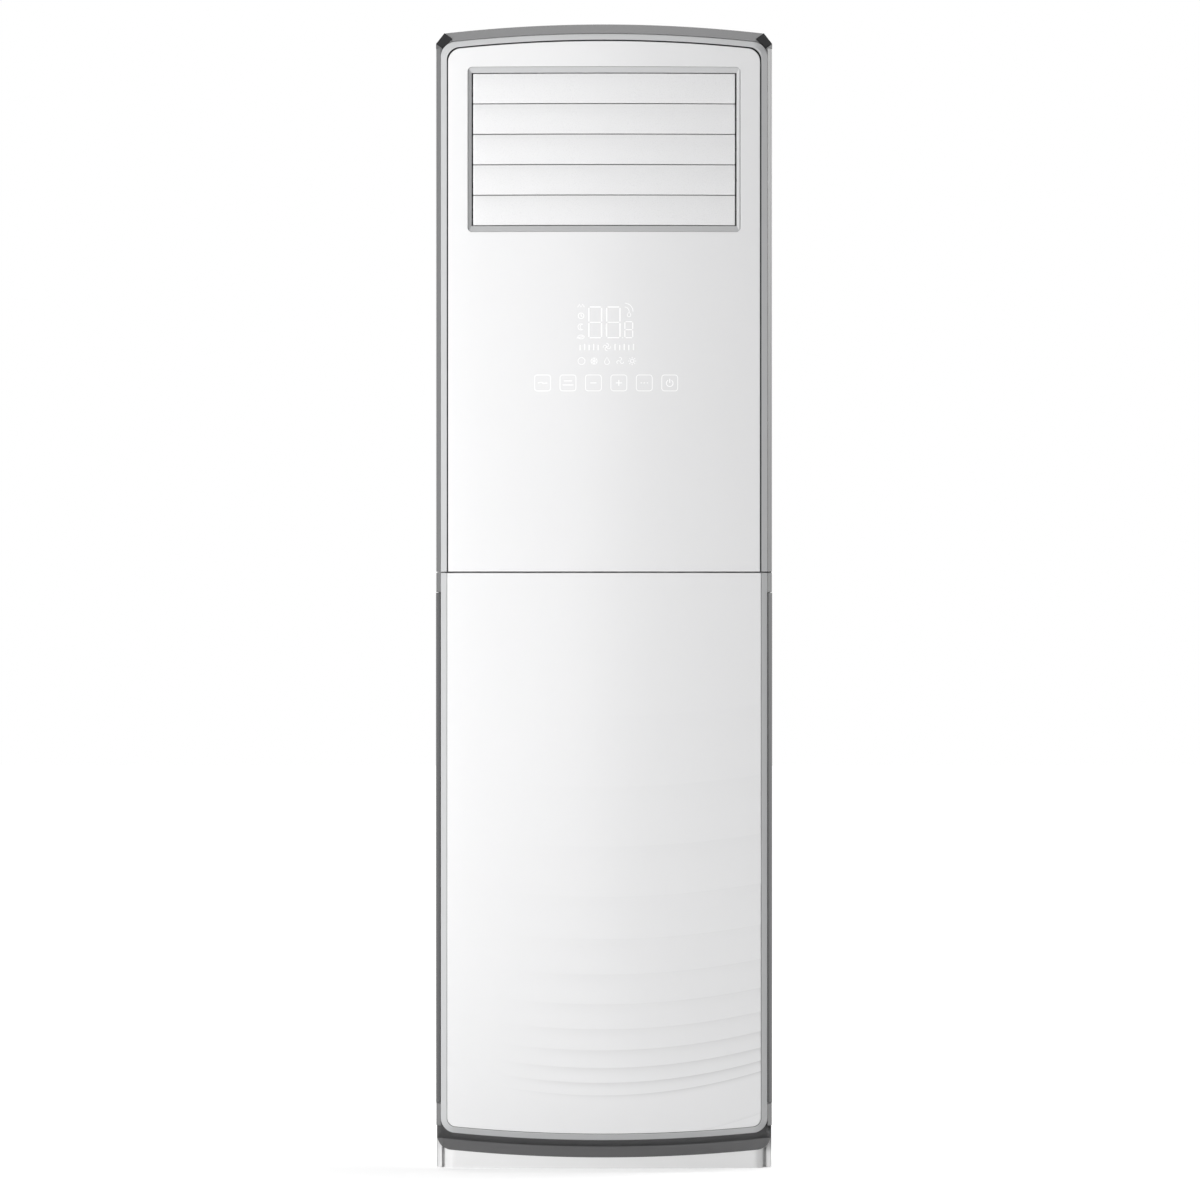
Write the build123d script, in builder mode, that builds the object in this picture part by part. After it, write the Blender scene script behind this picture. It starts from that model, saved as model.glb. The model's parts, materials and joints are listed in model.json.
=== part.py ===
from build123d import *
from math import ceil, cos, hypot, radians, sin, sqrt
import os

# Floor standing air conditioner: an upright cabinet with a bowed front, a louvred outlet at the
# top, intake grilles down both front corners, and a blower, coil and electrics inside.
# Millimetres, +Z up. The front faces -Y, +X is the viewer's right, and the origin lies on the
# floor under the middle of the cabinet.

os.makedirs("parts", exist_ok=True)

# ---- Driving dimensions ----

# Cabinet and the curves that its front follows
width = 500.0
height = 1700.0
depth = 315.0
bow_radius = 1700.0          # plan radius of the bowed front
top_arch = 2300.0            # radius of the arched upper edges, seen from the front
foot_arch = 2500.0           # radius of the arched lower edges

# Walls, shut lines and clearances
sheet = 1.2                  # sheet steel
wall = 2.5                   # moulded wall
fit = 0.3                    # gap where one piece seats on another
upper_seam = 2.0             # shut line round the upper panel
lower_seam = 0.5             # shut line round the lower panel
main_seam = 2.0              # shut line across the front
pin_play = 0.3               # radial play of a hinge pin

# Front elevation
seam_z = 886.0               # middle of the shut line across the front
top_bevel = 15.6             # height of the bevelled band over the front frame
top_bevel_depth = 22.0
frame_low = 44.0             # lower edge of the front frame, at the middle
foot_low = 16.9              # lower edge of the dark foot trim, at the middle
foot_break = 35.6            # where the foot trim's two facets meet, at the middle
foot_facet_depth = 13.0      # depth of the foot trim's lower facet
side_band = 7.5              # width of the grey band outside the frame, seen from the front
side_band_depth = 16.0
trim_inset = 0.5             # how far the side trims stand in from the grilles
cabinet_inset = 1.0          # and the sheet steel sides
foot_inset = 2.0             # and the foot trim
bezel = 9.0                  # width of the frame's sloping facet
bezel_depth = 7.0
bezel_land = 0.5             # flat strip between the facet and the panel's shut line
frame_rounding = 20.0
panel_rounding = 17.5
lower_rounding = 12.0
panel_skin = 3.0
panel_rim = 12.0             # depth of the rim that stiffens each front panel
frame_ledge = 8.0            # how far the frame reaches in behind the panels
frame_web = 2.0
corner_run = 12.6            # cut corner of the cabinet's outline
corner_drop = 16.0
corner_facet = 15.0          # width of the dark corner facets
corner_depth = 30.0

# Cabinet body
cover_height = 35.0          # height of the top cover
back_recess = 3.0
back_low = 20.0              # lower edge of the back panel
flange = 12.0
rear_flange = 10.0
plinth_half = 240.0
plinth_set_back = 27.0       # plinth front behind the front's furthest point
plinth_rounding = 15.0
pan_wall_height = 60.0
pan_floor = 1.5
anchor_spacing_x = 380.0
anchor_spacing_y = 200.0
anchor_radius = 5.0

# Side intake grilles
grille_low = 97.8
grille_high = 855.6
grille_gap = 0.8
grille_front_x = 243.7       # where the grille's front edge shows, from the middle
grille_rear_y = -31.0
grille_arc_inset = 1.4       # how far the middle of its rounded corner stands in
grille_slot = 4.0
grille_pitch = 9.0
grille_depth = 9.0           # depth of the grille's rim
hinge_pin_radius = 2.0
hinge_pin_length = 5.0
hinge_inset_x = 5.0
hinge_inset_y = 3.0
hinge_plate = 14.0
filter_thickness = 4.0
net_thickness = 0.6
net_rib = 3.0
net_columns = 5
net_thread = 1.0

# Air outlet and louvres
outlet_low = 1399.7
outlet_high = 1626.7
outlet_half = 196.5
ring_side = 5.5              # width of the bevelled ring beside the opening
ring_top = 8.5
ring_depth = 5.0
ring_rounding = 7.0
ring_bevel = 4.5
louvre_count = 5
louvre_gap = 1.0
louvre_end_gap = 2.0
louvre_set_back = 5.0
louvre_thickness = 7.5
louvre_pin_radius = 2.5
crank_radius = 12.0
crank_pin_radius = 2.0
crank_arm = 2.0
bar_thickness = 3.0
bar_width = 6.0
motor_radius = 10.5
motor_offset = 8.5           # from the motor's shaft back to its middle
motor_length = 18.0
motor_bite = 8.0             # how far a driven pin reaches into its motor

# Vanes behind the louvres
vane_count = 6
vane_chord = 44.0
vane_thickness = 2.4
vane_y = -80.0
vane_pin_radius = 2.5
vane_crank = 16.0
duct_gap = 5.5               # from the opening's edge to the duct wall
duct_rear_y = 110.0
duct_turn = 90.0             # radius of the duct's upper rear corner
duct_lip_y = -50.0
duct_collar = 4.0            # depth of the rim round the duct's mouth

# Blower
blower_z = 350.0
wheel_radius = 155.0
wheel_width = 100.0
wheel_y = 2.0
blade_count = 36
blade_depth = 27.0
blade_thickness = 1.6
blade_angle = 25.0           # degrees that each blade is turned from its radius
scroll_tongue = 178.0        # scroll radius at the tongue
scroll_end = 232.0           # scroll radius where the duct starts
tongue_angle = 60.0
housing_half = 60.0
inlet_radius = 132.0
inlet_lip = 8.0
shaft_radius = 6.0
shaft_play = 0.4
hub_radius = 16.0
hub_length = 25.0
vent_count = 6               # holes round the hub
vent_radius = 16.0
vent_circle = 77.5
fan_motor_radius = 62.0
fan_motor_length = 66.0
mount_radius = 9.0
mount_height = 10.0
mount_circle = 48.0
mount_count = 4
bracket_side = 170.0
bracket_sheet = 2.0
bracket_rounding = 10.0
partition_z = 868.0
stand_thickness = 4.0
stand_x = 70.0

# Coil, drain and pipes
coil_width = 400.0
coil_length = 430.0
coil_thickness = 44.0
coil_z = 1130.0
coil_lean = 15.0             # degrees from upright
fin_pitch = 8.0
fin_groove = 1.6
end_plate = 1.5
end_plate_margin = 10.0
tube_radius = 4.5
tube_pitch = 22.0
row_offset = 11.0
bend_count = 8
chamber_y = -58.0            # front face of the chamber cover
pan_lip = 20.0
pan_half = 204.6
gas_radius = 7.94            # 5/8 inch pipe
liquid_radius = 4.76         # 3/8 inch pipe
hose_radius = 9.0
hose_bore = 7.0
spout_length = 10.0          # the drain pan's spout
gas_x = -224.0
liquid_x = -210.0
hose_x = -184.0
pipe_y = 90.0
gas_exit_z = 105.0
liquid_exit_z = 145.0
hose_exit_z = 125.0
pipe_end_y = 150.0
pipe_bend = 32.0
liquid_turn_bend = 5.06      # the capillary end's tight turn at the coil
header_bend = 128.0          # where the gas header turns from the coil's lean to upright
nut_length = 14.0
gas_nut = 11.1               # corner radius of each flare nut
liquid_nut = 8.1
window_low = 85.0
window_high = 165.0
window_left = -238.0
window_right = -165.0
grommet_lip = 4.0
gland_x = -135.0
gland_radius = 8.0
gland_bore = 4.0
gland_nut = 12.0
gland_nut_length = 4.0
gland_length = 16.0

# Electrics
box_half = 150.0
box_low = 905.0
box_high = 1135.0
box_depth = 70.0
board_thickness = 1.6
board_standoff = 10.0        # height of the posts under the main board
board_post = 2.5
board_x = -37.5
main_board_half = 97.5
main_board_tall = 195.0
board_post_x = 75.0          # from the board's middle
board_post_z = 80.0
board_parts_height = 35.0
transformer = (-90.0, 1066.0, 48.0, 42.0)    # middle x and z, width and height
capacitor = (-15.0, 1077.0, 16.0)            # middle x and z, and radius
relay_row = (-67.5, 974.0)
relay_count = 4
relay_pitch = 26.0
relay_width = 18.0
relay_height = 22.0
terminals_x = 108.0
terminals_z = 985.0
terminals_width = 30.0
terminals_height = 90.0
terminals_depth = 20.0
terminal_rows = 5
terminal_pitch_x = 14.0
terminal_pitch_z = 17.0
terminal_width = 9.0
terminal_height = 12.0
terminal_depth = 10.0
display_x = 3.0
display_low = 1196.0
display_high = 1292.0
display_half = 46.0
key_count = 6
key_pitch = 37.7
key_size = 25.0
key_rounding = 4.0
key_z = 1166.6
display_board_y = -146.0
board_margin = 8.0
board_peg = 2.67             # radius of the posts that carry the display board
screw_radius = 2.0
screw_head = 4.0
screw_head_height = 2.4
screw_length = 8.0
screw_rows = 5

# ---- Worked-out places ----
half = width / 2
y_front = -depth / 2
y_back = depth / 2
trim_half = half - trim_inset
cabinet_half = half - cabinet_inset
inner_half = cabinet_half - sheet - fit
frame_half = half - side_band
frame_high = height - top_bevel
frame_depth = panel_rim + frame_web
seam_top = seam_z + main_seam / 2
seam_low = seam_z - main_seam / 2
upper_half = frame_half - bezel - upper_seam
upper_high = frame_high - bezel - upper_seam
lower_half = frame_half - bezel - lower_seam
lower_low = frame_low + bezel + lower_seam
panel_rear_y = y_back - back_recess - sheet       # inner face of the back panel
body_rear_y = panel_rear_y - sheet                # inner face of the side panels' rear flanges
cover_low = height - cover_height
elevation = Plane.XZ.offset(-y_back)              # outlines drawn here reach forward


def bow(x, inset=0.0):
    """How far back the bowed front lies at x, set in by inset."""
    return y_front + inset + bow_radius - sqrt(bow_radius**2 - x**2)


def arch(x, peak, radius):
    """Height at x of an edge that arches up to its peak in the middle."""
    return peak - radius + sqrt(radius**2 - x**2)


def dip(x, low, radius):
    """Height at x of an edge that dips to its lowest point in the middle."""
    return low + radius - sqrt(radius**2 - x**2)


def arched_outline(reach, low, peak, radius, rounding):
    """Front outline with an arched top and rounded upper corners."""
    shoulder = arch(reach, peak, radius)
    with BuildSketch(elevation) as outline:
        with BuildLine():
            Polyline((-reach, shoulder), (-reach, low), (reach, low), (reach, shoulder))
            ThreePointArc((reach, shoulder), (0, peak), (-reach, shoulder))
        make_face()
        if rounding > 0:
            fillet(outline.vertices().sort_by(Axis.Y)[-2:], rounding)
    return outline.sketch


def dipped_outline(reach, low, high, radius, rounding):
    """Front outline with a dipped lower edge and rounded lower corners."""
    heel = dip(reach, low, radius)
    with BuildSketch(elevation) as outline:
        with BuildLine():
            Polyline((-reach, heel), (-reach, high), (reach, high), (reach, heel))
            ThreePointArc((reach, heel), (0, low), (-reach, heel))
        make_face()
        fillet(outline.vertices().sort_by(Axis.Y)[:2], rounding)
    return outline.sketch


def framed_outline(reach, low, high, rounding):
    """Upright rectangular front outline with rounded corners."""
    with BuildSketch(elevation) as outline:
        with Locations((0, (low + high) / 2)):
            RectangleRounded(2 * reach, high - low, rounding)
    return outline.sketch


def bowed_slab(outline, inset, thickness):
    """Slab between two depths behind the bowed front, trimmed to a front outline."""
    reach = half + wall
    with BuildPart() as slab:
        with BuildSketch():
            with BuildLine():
                front = ThreePointArc(
                    (-reach, bow(reach, inset)), (0, bow(0, inset)), (reach, bow(reach, inset))
                )
                rear_inset = inset + thickness
                rear = ThreePointArc(
                    (reach, bow(reach, rear_inset)),
                    (0, bow(0, rear_inset)),
                    (-reach, bow(reach, rear_inset)),
                )
                Line(front @ 1, rear @ 0)
                Line(rear @ 1, front @ 0)
            make_face()
        extrude(amount=height)
        extrude(outline, amount=depth + wall, mode=Mode.INTERSECT)
    return slab.part


def leaning_prism(outline, rise_per_depth):
    """Front outline carried forward from the back along a line that leans up or down."""
    reach = depth + wall
    direction = Vector(0, -1, -rise_per_depth)
    with BuildPart() as prism:
        extrude(outline, amount=reach * hypot(1, rise_per_depth), dir=direction)
    return prism.part


def write(piece, name):
    """Labels one finished piece and writes its file."""
    piece.label = name
    export_step(piece, f"parts/{name}.step")


# ---- Front frame: two silver bezels that hold the panels ----
with BuildPart() as upper_front_frame:
    add(bowed_slab(
        arched_outline(frame_half, seam_top, frame_high, top_arch, frame_rounding), 0, frame_depth
    ))
    face = upper_front_frame.faces().filter_by(GeomType.CYLINDER).sort_by(Axis.Y)[0]
    chamfer(
        face.edges().sort_by(Axis.Z)[1:],
        length=bezel - bezel_land,
        length2=bezel_depth,
        reference=face,
    )
    opening = arched_outline(
        upper_half + upper_seam, seam_top - wall, upper_high + upper_seam, top_arch, panel_rounding
    )
    add(bowed_slab(opening, -wall, panel_rim + fit + wall), mode=Mode.SUBTRACT)
    ledge = arched_outline(
        upper_half + upper_seam - frame_ledge,
        seam_top - wall,
        upper_high + upper_seam - frame_ledge,
        top_arch,
        panel_rounding,
    )
    add(bowed_slab(ledge, 0, frame_depth + wall), mode=Mode.SUBTRACT)
write(upper_front_frame.part, "upper_front_frame")

with BuildPart() as lower_front_frame:
    add(bowed_slab(
        dipped_outline(frame_half, frame_low, seam_low, foot_arch, frame_rounding), 0, frame_depth
    ))
    face = lower_front_frame.faces().filter_by(GeomType.CYLINDER).sort_by(Axis.Y)[0]
    chamfer(
        face.edges().sort_by(Axis.Z)[:-1],
        length=bezel - bezel_land,
        length2=bezel_depth,
        reference=face,
    )
    opening = dipped_outline(
        lower_half + lower_seam, lower_low - lower_seam, seam_low + wall, foot_arch, lower_rounding
    )
    add(bowed_slab(opening, -wall, panel_rim + fit + wall), mode=Mode.SUBTRACT)
    ledge = dipped_outline(
        lower_half + lower_seam - frame_ledge,
        lower_low - lower_seam + frame_ledge,
        seam_low + wall,
        foot_arch,
        lower_rounding,
    )
    add(bowed_slab(ledge, 0, frame_depth + wall), mode=Mode.SUBTRACT)
write(lower_front_frame.part, "lower_front_frame")

# ---- Front panels: bowed moulded skins with a stiffening rim ----
ring_half = outlet_half + ring_side
ring_low = outlet_low - ring_top
ring_high = outlet_high + ring_top
board_half = key_pitch * (key_count - 1) / 2 + key_size / 2 + board_margin
board_low = key_z - key_size / 2 - board_margin
board_high = display_high + board_margin

with BuildPart() as upper_front_panel:
    add(bowed_slab(
        arched_outline(upper_half, seam_top, upper_high, top_arch, panel_rounding), 0, panel_rim
    ))
    hollow = arched_outline(
        upper_half - wall, seam_top + wall, upper_high - wall, top_arch, panel_rounding - wall
    )
    add(bowed_slab(hollow, panel_skin, panel_rim), mode=Mode.SUBTRACT)
    window = framed_outline(ring_half + fit, ring_low - fit, ring_high + fit, ring_rounding)
    add(bowed_slab(window, -wall, panel_rim), mode=Mode.SUBTRACT)
    # four posts that carry the display board
    with BuildSketch(Plane.XZ.offset(-display_board_y)):
        with Locations((display_x, (board_low + board_high) / 2)):
            with GridLocations(2 * board_half - board_margin, board_high - board_low - board_margin, 2, 2):
                Circle(board_peg)
    extrude(until=Until.NEXT, target=upper_front_panel.part)
write(upper_front_panel.part, "upper_front_panel")

with BuildPart() as lower_front_panel:
    add(bowed_slab(
        dipped_outline(lower_half, lower_low, seam_low, foot_arch, lower_rounding), 0, panel_rim
    ))
    hollow = dipped_outline(
        lower_half - wall, lower_low + wall, seam_low - wall, foot_arch, lower_rounding - wall
    )
    add(bowed_slab(hollow, panel_skin, panel_rim), mode=Mode.SUBTRACT)
write(lower_front_panel.part, "lower_front_panel")

# ---- Outlet surround: the bevelled white ring round the louvres ----
with BuildPart() as outlet_surround:
    add(bowed_slab(framed_outline(ring_half, ring_low, ring_high, ring_rounding), 0, ring_depth))
    with BuildSketch(elevation):
        with Locations((0, (outlet_low + outlet_high) / 2)):
            Rectangle(2 * outlet_half, outlet_high - outlet_low)
    extrude(amount=depth + wall, mode=Mode.SUBTRACT)
    face = outlet_surround.faces().filter_by(GeomType.CYLINDER).sort_by(Axis.Y)[0]
    chamfer(face.inner_wires()[0].edges(), length=ring_bevel)
write(outlet_surround.part, "outlet_surround")

# ---- Top cover: arched and bevelled, with dark inserts at its front corners ----
corner_x = half - corner_run


def cover_form(skin, front_skin):
    """The top cover's outer form, or with a skin taken off, its hollow."""
    lean = top_bevel / top_bevel_depth
    reach = half - skin
    peak = height - skin
    low = cover_low - (wall if skin else 0)
    shoulder = arch(reach - corner_run, peak, top_arch)
    with BuildSketch(Plane.XZ.offset(skin - y_back)) as outline:
        with BuildLine():
            Polyline(
                (-reach + corner_run, shoulder),
                (-reach, shoulder - corner_drop),
                (-reach, low),
                (reach, low),
                (reach, shoulder - corner_drop),
                (reach - corner_run, shoulder),
            )
            ThreePointArc(
                (reach - corner_run, shoulder), (0, peak), (-reach + corner_run, shoulder)
            )
        make_face()
    # the bevel follows the bow, so its arch is tighter by the depth that the bow takes
    bevel_arch = 1 / (1 / top_arch + lean / bow_radius)
    bevel_peak = frame_high - skin + lean * (depth - bezel_depth - front_skin)
    bevel = arched_outline(half + wall, cover_low - 2 * wall, bevel_peak, bevel_arch, 0)
    with BuildPart() as form:
        add(bowed_slab(outline.sketch, bezel_depth + front_skin, 2 * depth))
        add(leaning_prism(bevel, lean), mode=Mode.INTERSECT)
    return form.part


def corner_block(grow, depth_behind):
    """The corner insert's room: its outline from the front, grown on the inner sides."""
    shoulder = arch(half - corner_run, height, top_arch)
    run = hypot(corner_run, corner_drop)
    inward = Vector(-corner_drop, -corner_run) * (1 / run)
    top = Vector(half - corner_run, shoulder)
    side = Vector(half, shoulder - corner_drop)
    slip = Vector(-corner_run, corner_drop) * (grow / run)
    top_inner = top + inward * (corner_facet + grow) + slip
    side_inner = side + inward * (corner_facet + grow) - slip
    outward = inward * -grow
    with BuildPart() as block:
        with BuildSketch(Plane.XZ.offset(-edge_y - depth_behind)):
            Polygon(
                tuple(top + outward + slip)[:2],
                tuple(top_inner)[:2],
                tuple(side_inner)[:2],
                tuple(side + outward - slip)[:2],
                align=None,
            )
        extrude(amount=depth)
    return block.part


edge_y = bow(frame_half) + bezel_depth            # where the front frame's side edge ends
frame_room = arched_outline(frame_half + fit, seam_top, frame_high + fit, top_arch, frame_rounding)
with BuildPart() as top_cover:
    add(cover_form(0, 0))
    add(cover_form(wall, frame_depth - bezel_depth + wall), mode=Mode.SUBTRACT)
    add(bowed_slab(frame_room, -wall, frame_depth + fit + wall), mode=Mode.SUBTRACT)
    add(corner_block(fit, corner_depth + fit), mode=Mode.SUBTRACT)
    mirror(corner_block(fit, corner_depth + fit), about=Plane.YZ, mode=Mode.SUBTRACT)
write(top_cover.part, "top_cover")

with BuildPart() as corner_inserts:
    add(corner_block(0, corner_depth))
    # the facet falls back from the frame to the cabinet's outline
    shoulder = arch(half - corner_run, height, top_arch)
    run = hypot(corner_run, corner_drop)
    inner_mid = Vector(
        half - corner_run / 2 - corner_facet * corner_drop / run,
        edge_y - fit,
        shoulder - corner_drop / 2 - corner_facet * corner_run / run,
    )
    outer_mid = Vector(half - corner_run / 2, edge_y + side_band_depth, shoulder - corner_drop / 2)
    along = Vector(corner_run, 0, -corner_drop)
    facet = Plane(origin=inner_mid, x_dir=along, z_dir=along.cross(outer_mid - inner_mid))
    split(bisect_by=facet, keep=Keep.BOTTOM)
    add(bowed_slab(frame_room, -wall, frame_depth + fit + wall), mode=Mode.SUBTRACT)
    mirror(about=Plane.YZ)
write(corner_inserts.part, "corner_inserts")

# ---- Side trims: the grey band that falls back from the frame to the cabinet's side ----
frame_back_y = bow(frame_half, frame_depth)
trim_back_y = edge_y + side_band_depth + wall + flange + fit
foot_top = frame_low + frame_rounding + fit
grille_top_room = grille_high + grille_gap
grille_low_room = grille_low - grille_gap


def trim_bar(low, high):
    """The right-hand trim between two heights: a facet, a side and a hidden flange."""
    facet_y = edge_y + side_band_depth
    with BuildPart() as bar:
        with BuildSketch(Plane.XY.offset(low)):
            Polygon(
                (frame_half + fit, edge_y),
                (trim_half, facet_y),
                (trim_half, trim_back_y),
                (trim_half - wall, trim_back_y),
                (trim_half - wall, facet_y + fit),
                (frame_half + fit, frame_back_y + fit + wall),
                (frame_half - frame_ledge, frame_back_y + fit + wall),
                (frame_half - frame_ledge, frame_back_y + fit),
                (frame_half + fit, frame_back_y + fit),
                align=None,
            )
        extrude(amount=high - low)
    return bar.part


with BuildPart() as upper_side_trims:
    add(trim_bar(seam_top, cover_low - fit))
    add(corner_block(fit, corner_depth + fit), mode=Mode.SUBTRACT)
    mirror(about=Plane.YZ)
write(upper_side_trims.part, "upper_side_trims")

with BuildPart() as lower_side_trims:
    add(trim_bar(foot_top, seam_low))
    # room for the grille: only the hidden flange runs on behind it
    with BuildSketch(Plane.XY.offset(grille_low_room)):
        with Locations((frame_half + fit / 2, edge_y - wall)):
            Rectangle(side_band + wall, depth, align=(Align.MIN, Align.MIN))
    extrude(amount=grille_top_room - grille_low_room, mode=Mode.SUBTRACT)
    mirror(about=Plane.YZ)
write(lower_side_trims.part, "lower_side_trims")

# ---- Foot trim: two dark facets under the front frame ----
foot_half = half - foot_inset


def foot_form(skin):
    """The foot trim's outer form, or with a skin taken off, its hollow."""
    steep = (frame_low - foot_break) / (bezel_depth / 2)
    gentle = (foot_break - foot_low) / foot_facet_depth
    steep_arch = 1 / (1 / foot_arch + steep / bow_radius)
    gentle_arch = 1 / (1 / foot_arch + gentle / bow_radius)
    start = depth - bezel_depth - skin
    middle = start - bezel_depth / 2
    top = foot_top - fit + skin
    steep_low = frame_low + skin - steep * start
    gentle_low = foot_break + skin - gentle * middle
    outline = dipped_outline(
        foot_half - skin, foot_low + skin, top, foot_arch, frame_rounding - skin
    )
    with BuildPart() as form:
        add(bowed_slab(outline, bezel_depth + skin, plinth_set_back - bezel_depth - fit))
        add(leaning_prism(bevel_outline(steep_low, top, steep_arch), -steep), mode=Mode.INTERSECT)
        add(leaning_prism(bevel_outline(gentle_low, top, gentle_arch), -gentle), mode=Mode.INTERSECT)
    return form.part


def bevel_outline(low, high, radius):
    """Outline whose dipped lower edge, drawn at the back, comes forward along a bevel."""
    with BuildSketch(elevation) as outline:
        with BuildLine():
            Polyline(
                (-half, dip(half, low, radius)),
                (-half, high + 3 * height),
                (half, high + 3 * height),
                (half, dip(half, low, radius)),
            )
            ThreePointArc((half, dip(half, low, radius)), (0, low), (-half, dip(half, low, radius)))
        make_face()
    return outline.sketch


with BuildPart() as foot_trim:
    add(foot_form(0))
    add(foot_form(wall), mode=Mode.SUBTRACT)
    foot_room = dipped_outline(
        frame_half + fit, frame_low - fit, seam_low, foot_arch, frame_rounding
    )
    add(bowed_slab(foot_room, -wall, frame_depth + fit + wall), mode=Mode.SUBTRACT)
write(foot_trim.part, "foot_trim")

# ---- Base pan: a white folded tray whose front shows as the plinth ----
plinth_y = y_front + plinth_set_back
pan_shoulder_y = trim_back_y + flange


def pan_outline(skin):
    """Plan of the base pan, or with a skin taken off, of the space inside it."""
    with BuildSketch(Plane.XY.offset(pan_floor if skin else 0)) as outline:
        with BuildLine():
            side_y = plinth_y + bow(plinth_half) - bow(0) + skin
            Polyline(
                (-plinth_half + skin, side_y),
                (-plinth_half + skin, pan_shoulder_y + skin),
                (-inner_half + skin, pan_shoulder_y + skin),
                (-inner_half + skin, body_rear_y - fit - skin),
                (inner_half - skin, body_rear_y - fit - skin),
                (inner_half - skin, pan_shoulder_y + skin),
                (plinth_half - skin, pan_shoulder_y + skin),
                (plinth_half - skin, side_y),
            )
            ThreePointArc(
                (plinth_half - skin, side_y), (0, plinth_y + skin), (-plinth_half + skin, side_y)
            )
        make_face()
        fillet(outline.vertices().sort_by(Axis.Y)[:2], plinth_rounding - skin)
    return outline.sketch


with BuildPart() as base_pan:
    extrude(pan_outline(0), amount=pan_wall_height)
    extrude(pan_outline(sheet), amount=pan_wall_height, mode=Mode.SUBTRACT)
    with BuildSketch():
        with GridLocations(anchor_spacing_x, anchor_spacing_y, 2, 2):
            Circle(anchor_radius)
    extrude(amount=pan_floor, mode=Mode.SUBTRACT)
write(base_pan.part, "base_pan")

# ---- Cabinet sides, back and screws ----
side_low = sheet
hinge_x = half - hinge_inset_x
hinge_y = grille_rear_y - hinge_inset_y


def side_panel():
    """Right-hand side panel with its flanges, its grille window and the grille's pivot plates."""
    with BuildPart() as side:
        with BuildSketch(Plane.XY.offset(side_low)):
            with Locations((cabinet_half, trim_back_y + fit)):
                Rectangle(sheet, y_back - trim_back_y - fit, align=(Align.MAX, Align.MIN))
        extrude(amount=cover_low - fit - side_low)
        with BuildSketch(Plane.XY.offset(pan_wall_height + fit)):
            with Locations((cabinet_half, trim_back_y + fit)):
                Rectangle(flange, sheet, align=(Align.MAX, Align.MIN))
            with Locations((cabinet_half, body_rear_y)):
                Rectangle(rear_flange, sheet, align=(Align.MAX, Align.MIN))
        extrude(amount=cover_low - fit - pan_wall_height - fit)
        with BuildSketch(Plane.XY.offset(grille_low_room)):
            with Locations((cabinet_half + sheet, trim_back_y - sheet)):
                Rectangle(
                    2 * flange,
                    grille_rear_y + hinge_inset_y + grille_gap - trim_back_y + sheet,
                    align=(Align.MAX, Align.MIN),
                )
        extrude(amount=grille_top_room - grille_low_room, mode=Mode.SUBTRACT)
        for plate_low in (grille_low_room - sheet, grille_top_room):
            with BuildSketch(Plane.XY.offset(plate_low)):
                with Locations((cabinet_half, hinge_y)):
                    Rectangle(hinge_plate, 2 * hinge_plate, align=(Align.MAX, Align.CENTER))
                with Locations((hinge_x, hinge_y)):
                    Circle(hinge_pin_radius + pin_play, mode=Mode.SUBTRACT)
            extrude(amount=sheet)
    return side.part


screw_reach = inner_half - screw_head
screw_span = (cover_low - 2 * flange - window_high) / (screw_rows - 1)
screw_places = [
    (side * screw_reach, window_high + flange + row * screw_span)
    for side in (-1, 1)
    for row in range(screw_rows)
]


def screw_holes():
    """Bars through the back where the screws pass."""
    with BuildPart() as holes:
        with BuildSketch(elevation):
            with Locations(*screw_places):
                Circle(screw_radius + fit / 2)
        extrude(amount=back_recess + 3 * sheet)
    return holes.part


with BuildPart() as side_panel_right:
    add(side_panel())
    add(screw_holes(), mode=Mode.SUBTRACT)
write(side_panel_right.part, "side_panel_right")

with BuildPart() as side_panel_left:
    mirror(side_panel(), about=Plane.YZ)
    add(screw_holes(), mode=Mode.SUBTRACT)
write(side_panel_left.part, "side_panel_left")

with BuildPart() as back_panel:
    with BuildSketch(Plane.XZ.offset(-panel_rear_y)):
        with Locations((0, back_low)):
            Rectangle(2 * inner_half, cover_low - fit - back_low, align=(Align.CENTER, Align.MIN))
        with Locations(((window_left + window_right) / 2, (window_low + window_high) / 2)):
            Rectangle(
                window_right - window_left, window_high - window_low, mode=Mode.SUBTRACT
            )
        with Locations((gland_x, hose_exit_z)):
            Circle(gland_radius + fit, mode=Mode.SUBTRACT)
    extrude(amount=-sheet)
    add(screw_holes(), mode=Mode.SUBTRACT)
write(back_panel.part, "back_panel")

with BuildPart() as screws:
    with BuildSketch(Plane.XZ.offset(-panel_rear_y - sheet)):
        with Locations(*screw_places):
            Circle(screw_head)
    extrude(amount=-screw_head_height)
    with BuildSketch(Plane.XZ.offset(-panel_rear_y - sheet)):
        with Locations(*screw_places):
            Circle(screw_radius)
    extrude(amount=screw_length)
write(screws.part, "screws")

with BuildPart() as pipe_grommet:
    window_mid = ((window_left + window_right) / 2, (window_low + window_high) / 2)
    window_size = (window_right - window_left, window_high - window_low)
    with BuildSketch(Plane.XZ.offset(-panel_rear_y - sheet - fit / 3)):
        with Locations(window_mid):
            Rectangle(window_size[0] - fit, window_size[1] + 2 * grommet_lip)
            Rectangle(window_size[0] - 2 * wall, window_size[1] - 2 * wall, mode=Mode.SUBTRACT)
    extrude(amount=-sheet)
    with BuildSketch(Plane.XZ.offset(-panel_rear_y - sheet - fit / 3)):
        with Locations(window_mid):
            Rectangle(window_size[0] - fit, window_size[1] - fit)
            Rectangle(window_size[0] - 2 * wall, window_size[1] - 2 * wall, mode=Mode.SUBTRACT)
    extrude(amount=2 * sheet)
write(pipe_grommet.part, "pipe_grommet")

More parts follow.
